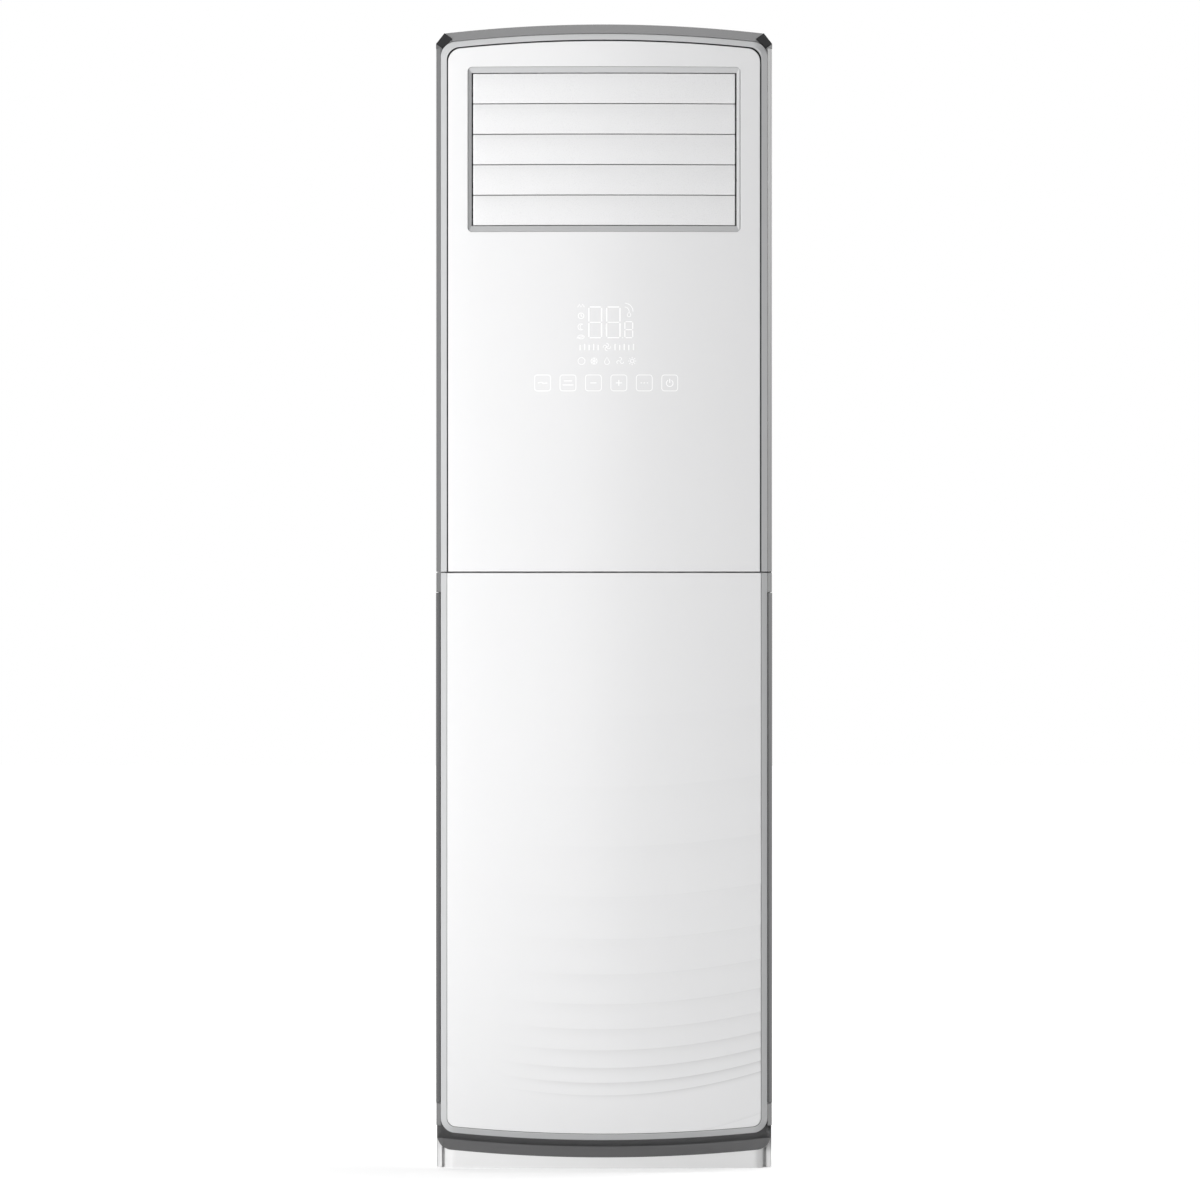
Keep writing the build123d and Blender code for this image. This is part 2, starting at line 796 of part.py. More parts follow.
with BuildPart() as cable_gland:
    with BuildSketch(Plane.XZ.offset(-panel_rear_y - sheet - back_recess + fit)):
        with Locations((gland_x, hose_exit_z)):
            Circle(gland_radius)
            Circle(gland_bore, mode=Mode.SUBTRACT)
    extrude(amount=gland_length)
    with BuildSketch(Plane.XZ.offset(-panel_rear_y + fit / 3)):
        with Locations((gland_x, hose_exit_z)):
            RegularPolygon(gland_nut, 6)
            Circle(gland_bore, mode=Mode.SUBTRACT)
    extrude(amount=gland_nut_length)
write(cable_gland.part, "cable_gland")

# ---- Side intake grilles: slotted covers that swing open on their rear edge ----
grille_front_y = edge_y
grille_face_y = edge_y + side_band_depth + wall
grille_inner_x = half - grille_depth
grille_mid_z = (grille_low + grille_high) / 2
grille_tall = grille_high - grille_low
rail_front_y = trim_back_y + wall
rail_rear_y = grille_rear_y - 2 * wall
slot_length = (grille_rear_y - rail_front_y) / 2 - 2 * wall
slot_rows = int((grille_tall - 4 * wall) / grille_pitch)


def side_grille():
    """Right-hand grille: a curved slotted shell with end caps, filter rails and pivot pins."""
    with BuildPart() as grille:
        with BuildSketch(Plane.XY.offset(grille_low)):
            with BuildLine():
                outer = ThreePointArc(
                    (grille_front_x, grille_front_y),
                    (half - grille_arc_inset, (grille_front_y + grille_face_y) / 2),
                    (half, grille_face_y),
                )
                inner = ThreePointArc(
                    (half - wall, grille_face_y),
                    (half - grille_arc_inset - wall, (grille_front_y + grille_face_y) / 2 + fit),
                    (grille_front_x, grille_front_y + wall),
                )
                Line(outer @ 1, (half, grille_rear_y))
                Line((half, grille_rear_y), (half - wall, grille_rear_y))
                Line((half - wall, grille_rear_y), inner @ 0)
                Line(inner @ 1, outer @ 0)
            make_face()
        extrude(amount=grille_tall)
        # rim along the top and bottom, the rails for the filter and the pivot bosses
        for cap_low in (grille_low, grille_high - wall):
            with BuildSketch(Plane.XY.offset(cap_low)):
                with Locations((half - wall / 2, rail_front_y)):
                    Rectangle(
                        grille_depth - wall / 2, grille_rear_y - rail_front_y, align=(Align.MAX, Align.MIN)
                    )
            extrude(amount=wall)
        with BuildSketch(Plane.XY.offset(grille_low)):
            with Locations((half - wall / 2, rail_front_y), (half - wall / 2, rail_rear_y)):
                Rectangle(grille_depth - wall / 2, wall, align=(Align.MAX, Align.MIN))
        extrude(amount=grille_tall)
        with BuildSketch(Plane.XY.offset(grille_low - hinge_pin_length)):
            with Locations((hinge_x, hinge_y)):
                Circle(hinge_pin_radius)
        extrude(amount=hinge_pin_length)
        with BuildSketch(Plane.XY.offset(grille_high)):
            with Locations((hinge_x, hinge_y)):
                Circle(hinge_pin_radius)
        extrude(amount=hinge_pin_length)
        # two columns of slots through the flat of the shell
        with BuildSketch(Plane.YZ.offset(half - wall - fit)):
            with Locations(((rail_front_y + wall + rail_rear_y) / 2, grille_mid_z)):
                with GridLocations(slot_length + 2 * wall, grille_pitch, 2, slot_rows):
                    SlotOverall(slot_length, grille_slot)
        extrude(amount=wall + 2 * fit, mode=Mode.SUBTRACT)
    return grille.part


def air_filter():
    """Right-hand filter: a plastic frame with a net across it."""
    filter_x = half - wall - fit - filter_thickness
    low = grille_low + wall + fit
    high = grille_high - wall - fit
    front = rail_front_y + wall + fit
    rear = rail_rear_y - fit
    across = rear - front
    tall = high - low
    with BuildPart() as frame:
        with BuildSketch(Plane.YZ.offset(filter_x)):
            with Locations(((front + rear) / 2, (low + high) / 2)):
                Rectangle(across, tall)
                rows = ceil(tall / (2 * across))
                opening = (tall - net_rib) / rows - net_rib
                with GridLocations(across, opening + net_rib, 1, rows):
                    Rectangle(across - 2 * net_rib, opening, mode=Mode.SUBTRACT)
        extrude(amount=filter_thickness)
        net_plane = Plane.YZ.offset(filter_x + (filter_thickness - net_thickness) / 2)
        with BuildSketch(net_plane):
            with Locations(((front + rear) / 2, (low + high) / 2)):
                Rectangle(across - net_rib, tall - net_rib)
                cell = (across - 2 * net_rib) / net_columns
                columns_high = int((tall - 2 * net_rib) / cell)
                with GridLocations(cell, cell, net_columns, columns_high):
                    Rectangle(cell - net_thread, cell - net_thread, mode=Mode.SUBTRACT)
        extrude(amount=net_thickness)
    return frame.part


with BuildPart() as side_grille_right:
    add(side_grille())
write(side_grille_right.part, "side_grille_right")

with BuildPart() as side_grille_left:
    mirror(side_grille(), about=Plane.YZ)
write(side_grille_left.part, "side_grille_left")

with BuildPart() as air_filter_right:
    add(air_filter())
write(air_filter_right.part, "air_filter_right")

with BuildPart() as air_filter_left:
    mirror(air_filter(), about=Plane.YZ)
write(air_filter_left.part, "air_filter_left")

# ---- Louvres: bowed blades on a common link bar, turned by a stepper motor ----
louvre_pitch = (outlet_high - outlet_low - louvre_gap) / louvre_count
louvre_height = louvre_pitch - louvre_gap
louvre_half = outlet_half - louvre_end_gap
louvre_y = bow(louvre_half, louvre_set_back) + louvre_thickness / 2
duct_half = outlet_half + duct_gap
crank_y = crank_radius * cos(radians(45))
louvre_levels = [
    outlet_low + louvre_gap / 2 + louvre_pitch * (index + 0.5) for index in range(louvre_count)
]
pin_reach = duct_half + wall + louvre_end_gap
driven_louvre = louvre_count // 2
bar_x = -louvre_half - crank_arm - fit - bar_thickness

for index, level in enumerate(louvre_levels):
    blade_low = level - louvre_height / 2
    with BuildPart() as louvre:
        add(bowed_slab(
            framed_outline(louvre_half, blade_low, blade_low + louvre_height, fit),
            louvre_set_back,
            louvre_thickness,
        ))
        with BuildSketch(Plane.YZ.offset(-pin_reach)):
            with Locations((louvre_y, level)):
                Circle(louvre_pin_radius)
        extrude(amount=pin_reach - louvre_half + wall)
        reach = motor_bite if index == driven_louvre else 0
        with BuildSketch(Plane.YZ.offset(louvre_half - wall)):
            with Locations((louvre_y, level)):
                Circle(louvre_pin_radius)
        extrude(amount=pin_reach + reach - louvre_half)
        # crank arm and its pin for the link bar
        with BuildSketch(Plane.YZ.offset(-louvre_half - crank_arm)):
            with Locations(Location((louvre_y + crank_y / 2, level - crank_y / 2), -45)):
                SlotCenterToCenter(crank_radius, 2 * crank_pin_radius + wall)
        extrude(amount=crank_arm + fit)
        with BuildSketch(Plane.YZ.offset(bar_x - fit)):
            with Locations((louvre_y + crank_y, level - crank_y)):
                Circle(crank_pin_radius)
        extrude(amount=-louvre_half - bar_x)
    write(louvre.part, f"louvre_{index + 1}")

with BuildPart() as louvre_link_bar:
    bar_mid = (louvre_levels[0] + louvre_levels[-1]) / 2 - crank_y
    bar_span = louvre_levels[-1] - louvre_levels[0]
    with BuildSketch(Plane.YZ.offset(bar_x)):
        with Locations(Location((louvre_y + crank_y, bar_mid), 90)):
            SlotCenterToCenter(bar_span, bar_width + wall)
        with Locations((louvre_y + crank_y, bar_mid)):
            with GridLocations(0, louvre_pitch, 1, louvre_count):
                Circle(crank_pin_radius + pin_play, mode=Mode.SUBTRACT)
    extrude(amount=bar_thickness)
write(louvre_link_bar.part, "louvre_link_bar")

with BuildPart() as louvre_motor:
    with BuildSketch(Plane.YZ.offset(duct_half + wall)):
        with Locations((louvre_y + motor_offset, louvre_levels[driven_louvre])):
            Circle(motor_radius)
    extrude(amount=motor_length)
    with BuildSketch(Plane.YZ.offset(duct_half + wall)):
        with Locations((louvre_y + motor_offset, louvre_levels[driven_louvre])):
            Rectangle(2 * wall, 3 * motor_radius)
    extrude(amount=bar_thickness / 2)
    with BuildSketch(Plane.YZ.offset(duct_half + wall)):
        with Locations((louvre_y, louvre_levels[driven_louvre])):
            Circle(louvre_pin_radius + pin_play)
    extrude(amount=motor_bite + louvre_end_gap + fit, mode=Mode.SUBTRACT)
write(louvre_motor.part, "louvre_motor")

# ---- Duct: the moulded hood that turns the air forward to the louvres ----
duct_floor = outlet_low - duct_gap
duct_roof = outlet_high + duct_gap
vane_pitch = 2 * outlet_half / vane_count
vane_places = [vane_pitch * (index - (vane_count - 1) / 2) for index in range(vane_count)]
driven_vane = vane_count // 2


def duct_side(grow):
    """The duct seen from the side, grown by its wall."""
    turn = duct_turn + grow
    rear = duct_rear_y + grow
    mouth = duct_floor - duct_collar - 2 * wall + grow
    with BuildSketch(Plane.YZ.offset(-duct_half - grow)) as profile:
        with BuildLine():
            Polyline(
                (rear, duct_roof - duct_turn),
                (rear, mouth),
                (duct_lip_y - grow, mouth),
                (duct_lip_y - grow, duct_floor - grow),
                (y_front, duct_floor - grow),
                (y_front, duct_roof + grow),
                (rear - turn, duct_roof + grow),
            )
            RadiusArc((rear - turn, duct_roof + grow), (rear, duct_roof - duct_turn), turn)
        make_face()
    return profile.sketch


ring_room = framed_outline(half, frame_low, frame_high, ring_rounding)
with BuildPart() as air_duct:
    extrude(duct_side(wall), amount=2 * (duct_half + wall))
    extrude(duct_side(0), amount=2 * duct_half, mode=Mode.SUBTRACT)
    add(bowed_slab(ring_room, -depth, depth + ring_depth + fit / 3), mode=Mode.SUBTRACT)
    with BuildSketch(Plane.YZ.offset(-pin_reach)):
        with Locations(*[(louvre_y, level) for level in louvre_levels]):
            Circle(louvre_pin_radius + pin_play)
    extrude(amount=2 * pin_reach, mode=Mode.SUBTRACT)
    with BuildSketch(Plane.XY.offset(duct_floor - 2 * wall)):
        with Locations(*[(x, vane_y) for x in vane_places]):
            Circle(vane_pin_radius + pin_play)
    extrude(amount=duct_roof - duct_floor + 4 * wall, mode=Mode.SUBTRACT)
write(air_duct.part, "air_duct")

# ---- Vanes: upright blades behind the louvres, joined at their lower edge ----
vane_bar_z = duct_floor + fit
vane_low = vane_bar_z + bar_thickness + fit
vane_high = duct_roof - fit
for index, vane_x in enumerate(vane_places):
    with BuildPart() as vane:
        with BuildSketch(Plane.XY.offset(vane_low)):
            with Locations(Location((vane_x, vane_y), 90)):
                SlotOverall(vane_chord, vane_thickness)
            with Locations((vane_x, vane_y)):
                Circle(vane_pin_radius)
            with Locations((vane_x, vane_y + vane_crank)):
                Circle(crank_pin_radius)
        extrude(amount=vane_high - vane_low)
        top_reach = wall + (motor_bite if index == driven_vane else fit)
        with BuildSketch(Plane.XY.offset(vane_high - wall)):
            with Locations((vane_x, vane_y)):
                Circle(vane_pin_radius)
        extrude(amount=top_reach + wall)
        with BuildSketch(Plane.XY.offset(duct_floor - wall)):
            with Locations((vane_x, vane_y)):
                Circle(vane_pin_radius)
        extrude(amount=vane_low - duct_floor + 2 * wall)
        with BuildSketch(Plane.XY.offset(vane_bar_z)):
            with Locations((vane_x, vane_y + vane_crank)):
                Circle(crank_pin_radius)
        extrude(amount=vane_low - vane_bar_z + wall)
    write(vane.part, f"vane_{index + 1}")

with BuildPart() as vane_link_bar:
    with BuildSketch(Plane.XY.offset(vane_bar_z)):
        with Locations((0, vane_y + vane_crank)):
            SlotCenterToCenter(vane_places[-1] - vane_places[0], bar_width + wall)
            with GridLocations(vane_pitch, 0, vane_count, 1):
                Circle(crank_pin_radius + pin_play, mode=Mode.SUBTRACT)
    extrude(amount=bar_thickness)
write(vane_link_bar.part, "vane_link_bar")

with BuildPart() as vane_motor:
    with BuildSketch(Plane.XY.offset(duct_roof + wall)):
        with Locations((vane_places[driven_vane], vane_y)):
            Circle(motor_radius)
    extrude(amount=motor_length)
    with BuildSketch(Plane.XY.offset(duct_roof + wall)):
        with Locations((vane_places[driven_vane], vane_y)):
            Rectangle(3 * motor_radius, 2 * wall)
    extrude(amount=bar_thickness / 2)
    with BuildSketch(Plane.XY.offset(duct_roof + wall)):
        with Locations((vane_places[driven_vane], vane_y)):
            Circle(vane_pin_radius + pin_play)
    extrude(amount=motor_bite + wall, mode=Mode.SUBTRACT)
write(vane_motor.part, "vane_motor")

# ---- Partition and chamber cover: the steel plates that the upper half stands on ----
duct_left = scroll_tongue * cos(radians(tongue_angle))
with BuildPart() as partition:
    with BuildSketch(Plane.XY.offset(partition_z)):
        with Locations((0, trim_back_y + sheet + 2 * fit)):
            Rectangle(
                2 * inner_half,
                body_rear_y - trim_back_y - sheet - 3 * fit,
                align=(Align.CENTER, Align.MIN),
            )
        with Locations(((duct_left + scroll_end) / 2, 0)):
            Rectangle(scroll_end - duct_left, 2 * (housing_half - wall), mode=Mode.SUBTRACT)
        with Locations(((gas_x + hose_x) / 2, pipe_y)):
            Rectangle(hose_x - gas_x + 3 * hose_radius, 3 * hose_radius, mode=Mode.SUBTRACT)
    extrude(amount=sheet)
write(partition.part, "partition")

chamber_back = chamber_y + sheet
with BuildPart() as chamber_cover:
    with BuildSketch(Plane.XY.offset(partition_z + sheet)):
        with Locations((0, chamber_y)):
            Rectangle(2 * inner_half, sheet, align=(Align.CENTER, Align.MIN))
    extrude(amount=duct_floor - wall - fit / 3 - partition_z - sheet)
write(chamber_cover.part, "chamber_cover")

# ---- Blower: scroll housing in two shells, inlet ring, fan wheel and motor ----
housing_top = partition_z - fit / 3


def scroll_point(angle, grow):
    """Point on the scroll, which widens evenly from its tongue to the duct."""
    share = (angle - tongue_angle) / (360 - tongue_angle)
    radius = scroll_tongue + (scroll_end - scroll_tongue) * share + grow
    return (radius * cos(radians(angle)), blower_z + radius * sin(radians(angle)))


def scroll_outline(y, grow):
    """The scroll and its upright duct seen from the front, grown by the wall."""
    left = duct_left - grow
    tongue_z = blower_z + sqrt((scroll_tongue + grow) ** 2 - left**2)
    with BuildSketch(Plane.XZ.offset(-y)) as outline:
        with BuildLine():
            start = (left, tongue_z)
            for angle in range(120, 361, 60):
                end = scroll_point(angle, grow)
                ThreePointArc(start, scroll_point(angle - 30, grow), end)
                start = end
            Polyline(start, (start[0], housing_top), (left, housing_top), (left, tongue_z))
        make_face()
    return outline.sketch


with BuildPart() as blower_housing_rear:
    extrude(scroll_outline(housing_half, wall), amount=2 * housing_half - wall - fit)
    for stand in (-stand_x, stand_x):
        with BuildSketch(Plane.XY.offset(pan_floor)):
            with Locations((stand, 0)):
                Rectangle(stand_thickness, 2 * (housing_half - wall - fit))
        extrude(amount=blower_z - pan_floor - scroll_tongue)
    extrude(scroll_outline(housing_half - wall, 0), amount=2 * housing_half, mode=Mode.SUBTRACT)
    with BuildSketch(Plane.XZ):
        with Locations((0, blower_z)):
            Circle(hub_radius + shaft_radius + wall)
    extrude(amount=-depth, mode=Mode.SUBTRACT)
write(blower_housing_rear.part, "blower_housing_rear")

with BuildPart() as blower_housing_front:
    extrude(scroll_outline(wall - housing_half, wall), amount=wall)
    with BuildSketch(Plane.XZ):
        with Locations((0, blower_z)):
            Circle(inlet_radius + wall)
    extrude(amount=depth, mode=Mode.SUBTRACT)
    # bell mouth round the inlet
    with BuildSketch(Plane.YZ):
        with BuildLine():
            Polyline(
                (-housing_half - wall, blower_z + inlet_radius + inlet_lip),
                (-housing_half + wall, blower_z + inlet_radius + inlet_lip),
                (-housing_half + wall, blower_z + inlet_radius + wall),
                (-housing_half + 2 * wall, blower_z + inlet_radius),
                (-housing_half + 2 * wall, blower_z + inlet_radius - wall),
                (-housing_half, blower_z + inlet_radius - wall / 2),
                (-housing_half - wall, blower_z + inlet_radius + inlet_lip),
            )
        make_face()
    revolve(axis=Axis((0, 0, blower_z), (0, 1, 0)))
write(blower_housing_front.part, "blower_housing_front")

wheel_front = wheel_y - wheel_width / 2
wheel_back = wheel_y + wheel_width / 2
with BuildPart() as fan_wheel:
    with BuildSketch(Plane.XZ.offset(-wheel_back)):
        with Locations((0, blower_z)):
            Circle(wheel_radius)
    extrude(amount=wall)
    with BuildSketch(Plane.XZ.offset(-wheel_front - wall)):
        with Locations((0, blower_z)):
            Circle(wheel_radius)
            Circle(wheel_radius - blade_depth, mode=Mode.SUBTRACT)
    extrude(amount=wall)
    with BuildSketch(Plane.XZ.offset(-wheel_back)):
        with Locations((0, blower_z)):
            with PolarLocations(wheel_radius - blade_depth / 2 - wall / 2, blade_count):
                SlotOverall(blade_depth - wall, blade_thickness, rotation=blade_angle)
    extrude(amount=wheel_width)
    with BuildSketch(Plane.XZ.offset(-wheel_back)):
        with Locations((0, blower_z)):
            Circle(hub_radius)
    extrude(amount=hub_length)
    with BuildSketch(Plane.XZ.offset(-wheel_back)):
        with Locations((0, blower_z)):
            Circle(shaft_radius + fit / 6)
            with PolarLocations(vent_circle, vent_count):
                Circle(vent_radius)
    extrude(amount=wheel_width, mode=Mode.SUBTRACT)
write(fan_wheel.part, "fan_wheel")

bracket_y = housing_half + fit / 3
motor_front_y = bracket_y + bracket_sheet + mount_height
with BuildPart() as motor_bracket:
    with BuildSketch(Plane.XZ.offset(-bracket_y)):
        with Locations((0, blower_z)):
            RectangleRounded(bracket_side, bracket_side, bracket_rounding)
            Circle(hub_radius + shaft_radius + wall, mode=Mode.SUBTRACT)
    extrude(amount=-bracket_sheet)
write(motor_bracket.part, "motor_bracket")

with BuildPart() as motor_mounts:
    with BuildSketch(Plane.XZ.offset(-bracket_y - bracket_sheet)):
        with Locations((0, blower_z)):
            with PolarLocations(mount_circle, mount_count, start_angle=180 / mount_count):
                Circle(mount_radius)
    extrude(amount=-mount_height)
write(motor_mounts.part, "motor_mounts")

with BuildPart() as fan_motor:
    with BuildSketch(Plane.XZ.offset(-motor_front_y)):
        with Locations((0, blower_z)):
            Circle(fan_motor_radius)
    extrude(amount=-fan_motor_length)
    chamfer(fan_motor.edges().filter_by(GeomType.CIRCLE).sort_by(Axis.Y)[-1], length=2 * wall)
    with BuildSketch(Plane.XZ.offset(-motor_front_y)):
        with Locations((0, blower_z)):
            Circle(hub_radius)
    extrude(amount=mount_height / 2)
    with BuildSketch(Plane.XZ.offset(-motor_front_y - fan_motor_length + wall)):
        with Locations((0, blower_z)):
            Circle(shaft_radius + shaft_play)
    extrude(amount=2 * fan_motor_length, mode=Mode.SUBTRACT)
write(fan_motor.part, "fan_motor")

with BuildPart() as fan_shaft:
    shaft_back = motor_front_y + fan_motor_length - wall - shaft_play
    with BuildSketch(Plane.XZ.offset(-shaft_back)):
        with Locations((0, blower_z)):
            Circle(shaft_radius)
    extrude(amount=shaft_back - wheel_back + hub_length)
write(fan_shaft.part, "fan_shaft")

# ---- Coil: finned slab leaning back from the chamber cover, with its tubes and end plates ----
lean_sin = sin(radians(coil_lean))
lean_cos = cos(radians(coil_lean))
plate_half = coil_length / 2 + end_plate_margin
plate_thick_half = coil_thickness / 2 + wall
coil_y = chamber_back + fit + plate_half * lean_sin + plate_thick_half * lean_cos
coil_plane = Plane(origin=(0, coil_y, coil_z), x_dir=(1, 0, 0), z_dir=(0, lean_cos, lean_sin))
tube_rows = (-row_offset, row_offset)


def coil_point(x, along, across):
    """Point in the coil: along it upwards, and across it to the rear."""
    return (
        x,
        coil_y - along * lean_sin + across * lean_cos,
        coil_z + along * lean_cos + across * lean_sin,
    )


with BuildPart() as coil_fins:
    with BuildSketch(coil_plane.offset(-coil_thickness / 2)):
        Rectangle(coil_width, coil_length)
    extrude(amount=coil_thickness)
    groove_count = int(coil_width / fin_pitch) - 1
    for face_offset in (-coil_thickness / 2, coil_thickness / 2 - fin_groove):
        with BuildSketch(coil_plane.offset(face_offset)):
            with GridLocations(fin_pitch, 0, groove_count, 1):
                Rectangle(fin_groove, coil_length)
        extrude(amount=fin_groove, mode=Mode.SUBTRACT)
write(coil_fins.part, "coil_fins")

tube_span = tube_pitch * (2 * bend_count - 1)
with BuildPart() as coil_end_plates:
    for side in (-1, 1):
        plate_x = side * (coil_width / 2 + end_plate / 2 + fit / 6)
        with BuildSketch(Plane(origin=coil_point(plate_x, 0, 0), x_dir=coil_plane.y_dir, z_dir=(1, 0, 0))):
            Rectangle(2 * plate_half, 2 * plate_thick_half)
            with GridLocations(tube_pitch, 2 * row_offset, 2 * bend_count, 2):
                Circle(tube_radius + fit, mode=Mode.SUBTRACT)
        extrude(amount=end_plate / 2, both=True)
write(coil_end_plates.part, "coil_end_plates")

tube_reach = coil_width / 2 + end_plate + fit


def return_bend(side, along, across):
    """One U bend that joins two neighbouring tubes outside an end plate."""
    centre = coil_point(side * tube_reach, along, across)
    bend_plane = Plane(origin=centre, x_dir=(side, 0, 0), z_dir=coil_plane.z_dir)
    with BuildPart() as bend:
        with BuildLine(bend_plane) as path:
            Line((-end_plate, -tube_pitch / 2), (0, -tube_pitch / 2))
            CenterArc((0, 0), tube_pitch / 2, -90, 180)
            Line((0, tube_pitch / 2), (-end_plate, tube_pitch / 2))
        with BuildSketch(Plane(origin=path.line @ 0, z_dir=path.line % 0)):
            Circle(tube_radius)
        sweep(path=path.line)
    return bend.part


with BuildPart() as coil_bends:
    for step in range(bend_count):
        along = -tube_span / 2 + tube_pitch / 2 + 2 * tube_pitch * step
        for across in tube_rows:
            add(return_bend(1, along, across))
    for step in range(bend_count - 1):
        along = -tube_span / 2 + 3 * tube_pitch / 2 + 2 * tube_pitch * step
        add(return_bend(-1, along, -row_offset))
write(coil_bends.part, "coil_bends")

# ---- Refrigerant pipes and drain: from the coil down behind the blower and out at the back ----
header_top = coil_point(gas_x, tube_span / 2, row_offset)
header_low = coil_point(gas_x, -tube_span / 2, row_offset)
fall = (pipe_y - header_low[1]) / lean_sin
gas_knee = (gas_x, pipe_y, header_low[2] - fall * lean_cos)


def pipe(points, radii, radius):
    """Tube along straight runs joined by arcs."""
    with BuildPart() as tube:
        with BuildLine() as path:
            FilletPolyline(*points, radius=radii)
        with BuildSketch(Plane(origin=path.line @ 0, z_dir=path.line % 0)):
            Circle(radius)
        sweep(path=path.line)
    return tube.part


with BuildPart() as gas_pipe:
    add(pipe(
        [header_top, gas_knee, (gas_x, pipe_y, gas_exit_z), (gas_x, pipe_end_y, gas_exit_z)],
        [header_bend, pipe_bend],
        gas_radius,
    ))
    for step in range(0, bend_count, 2):
        along = -tube_span / 2 + 2 * tube_pitch * step
        stub = coil_point(-tube_reach + end_plate, along, row_offset)
        with BuildSketch(Plane(origin=stub, z_dir=(-1, 0, 0))):
            Circle(tube_radius)
        extrude(amount=-gas_x - tube_reach)
    with BuildSketch(Plane.XZ.offset(gas_radius - pipe_end_y)):
        with Locations((gas_x, gas_exit_z)):
            RegularPolygon(gas_nut, 6)
    extrude(amount=nut_length)
write(gas_pipe.part, "gas_pipe")

liquid_start = coil_point(-tube_reach + end_plate, -tube_span / 2, -row_offset)
liquid_turn = (liquid_x, liquid_start[1], liquid_start[2])
liquid_knee = (liquid_x, pipe_y, gas_knee[2])
with BuildPart() as liquid_pipe:
    add(pipe(
        [
            liquid_start,
            liquid_turn,
            liquid_knee,
            (liquid_x, pipe_y, liquid_exit_z),
            (liquid_x, pipe_end_y, liquid_exit_z),
        ],
        [liquid_turn_bend, pipe_bend, pipe_bend],
        liquid_radius,
    ))
    with BuildSketch(Plane.XZ.offset(gas_radius - pipe_end_y)):
        with Locations((liquid_x, liquid_exit_z)):
            RegularPolygon(liquid_nut, 6)
    extrude(amount=nut_length)
write(liquid_pipe.part, "liquid_pipe")

plate_foot = coil_z - plate_half * lean_cos - plate_thick_half * lean_sin
coil_foot = coil_point(0, -plate_half, -plate_thick_half)
pan_front_y = coil_foot[1] - pan_lip * lean_sin / lean_cos - 2 * wall
with BuildPart() as drain_pan:
    with BuildSketch(Plane.XY.offset(plate_foot - fit / 3 - wall)):
        with Locations((0, pan_front_y)):
            Rectangle(
                2 * pan_half, body_rear_y - fit - pan_front_y, align=(Align.CENTER, Align.MIN)
            )
    extrude(amount=wall + pan_lip)
    with BuildSketch(Plane.XY.offset(plate_foot - fit / 3)):
        with Locations((0, pan_front_y + wall)):
            Rectangle(
                2 * (pan_half - wall),
                body_rear_y - fit - pan_front_y - 2 * wall,
                align=(Align.CENTER, Align.MIN),
            )
    extrude(amount=pan_lip + wall, mode=Mode.SUBTRACT)
    for foot_x in (-pan_half / 2, pan_half / 2):
        with BuildSketch(Plane.XY.offset(partition_z + sheet)):
            with Locations((foot_x, (pan_front_y + body_rear_y) / 2)):
                Rectangle(stand_thickness, body_rear_y - pan_front_y - flange)
        extrude(amount=plate_foot - fit / 3 - wall - partition_z - sheet)
    with BuildSketch(Plane.XY.offset(plate_foot - spout_length)):
        with Locations((hose_x, pipe_y)):
            Circle(hose_bore - fit)
    extrude(amount=spout_length - fit / 3)
    with BuildSketch(Plane.XY.offset(plate_foot - spout_length)):
        with Locations((hose_x, pipe_y)):
            Circle(hose_bore - wall)
    extrude(amount=spout_length, mode=Mode.SUBTRACT)
write(drain_pan.part, "drain_pan")

hose_top = plate_foot - wall - fit
with BuildPart() as drain_hose:
    hose_route = [
        (hose_x, pipe_y, hose_top),
        (hose_x, pipe_y, hose_exit_z),
        (hose_x, pipe_end_y, hose_exit_z),
    ]
    add(pipe(hose_route, [pipe_bend], hose_radius))
    add(pipe(hose_route, [pipe_bend], hose_bore), mode=Mode.SUBTRACT)
write(drain_hose.part, "drain_hose")

# ---- Control box, boards and terminals behind the upper panel ----
box_back = chamber_y - fit / 3
box_front = box_back - box_depth
with BuildPart() as control_box:
    with BuildSketch(Plane.XZ.offset(-box_back)):
        with Locations((0, (box_low + box_high) / 2)):
            Rectangle(2 * box_half, box_high - box_low)
    extrude(amount=box_depth)
    with BuildSketch(Plane.XZ.offset(-box_back + sheet)):
        with Locations((0, (box_low + box_high) / 2)):
            Rectangle(2 * (box_half - sheet), box_high - box_low - 2 * sheet)
    extrude(amount=box_depth, mode=Mode.SUBTRACT)
    board_y = box_back - sheet - board_standoff
    with BuildSketch(Plane.XZ.offset(-board_y)):
        with Locations((board_x, (box_low + box_high) / 2)):
            with GridLocations(2 * board_post_x, 2 * board_post_z, 2, 2):
                Circle(board_post)
    extrude(amount=-board_standoff)
write(control_box.part, "control_box")

with BuildPart() as control_box_cover:
    with BuildSketch(Plane.XZ.offset(-box_front + fit / 3)):
        with Locations((0, (box_low + box_high) / 2)):
            Rectangle(2 * box_half, box_high - box_low)
    extrude(amount=sheet)
write(control_box_cover.part, "control_box_cover")

with BuildPart() as main_board:
    with BuildSketch(Plane.XZ.offset(-board_y)):
        with Locations((board_x, (box_low + box_high) / 2)):
            Rectangle(2 * main_board_half, main_board_tall)
    extrude(amount=board_thickness)
    with BuildSketch(Plane.XZ.offset(-board_y + board_thickness)):
        with Locations(transformer[:2]):
            Rectangle(*transformer[2:])
        with Locations(capacitor[:2]):
            Circle(capacitor[2])
        with Locations(relay_row):
            with GridLocations(relay_pitch, 0, relay_count, 1):
                Rectangle(relay_width, relay_height)
    extrude(amount=board_parts_height)
write(main_board.part, "main_board")

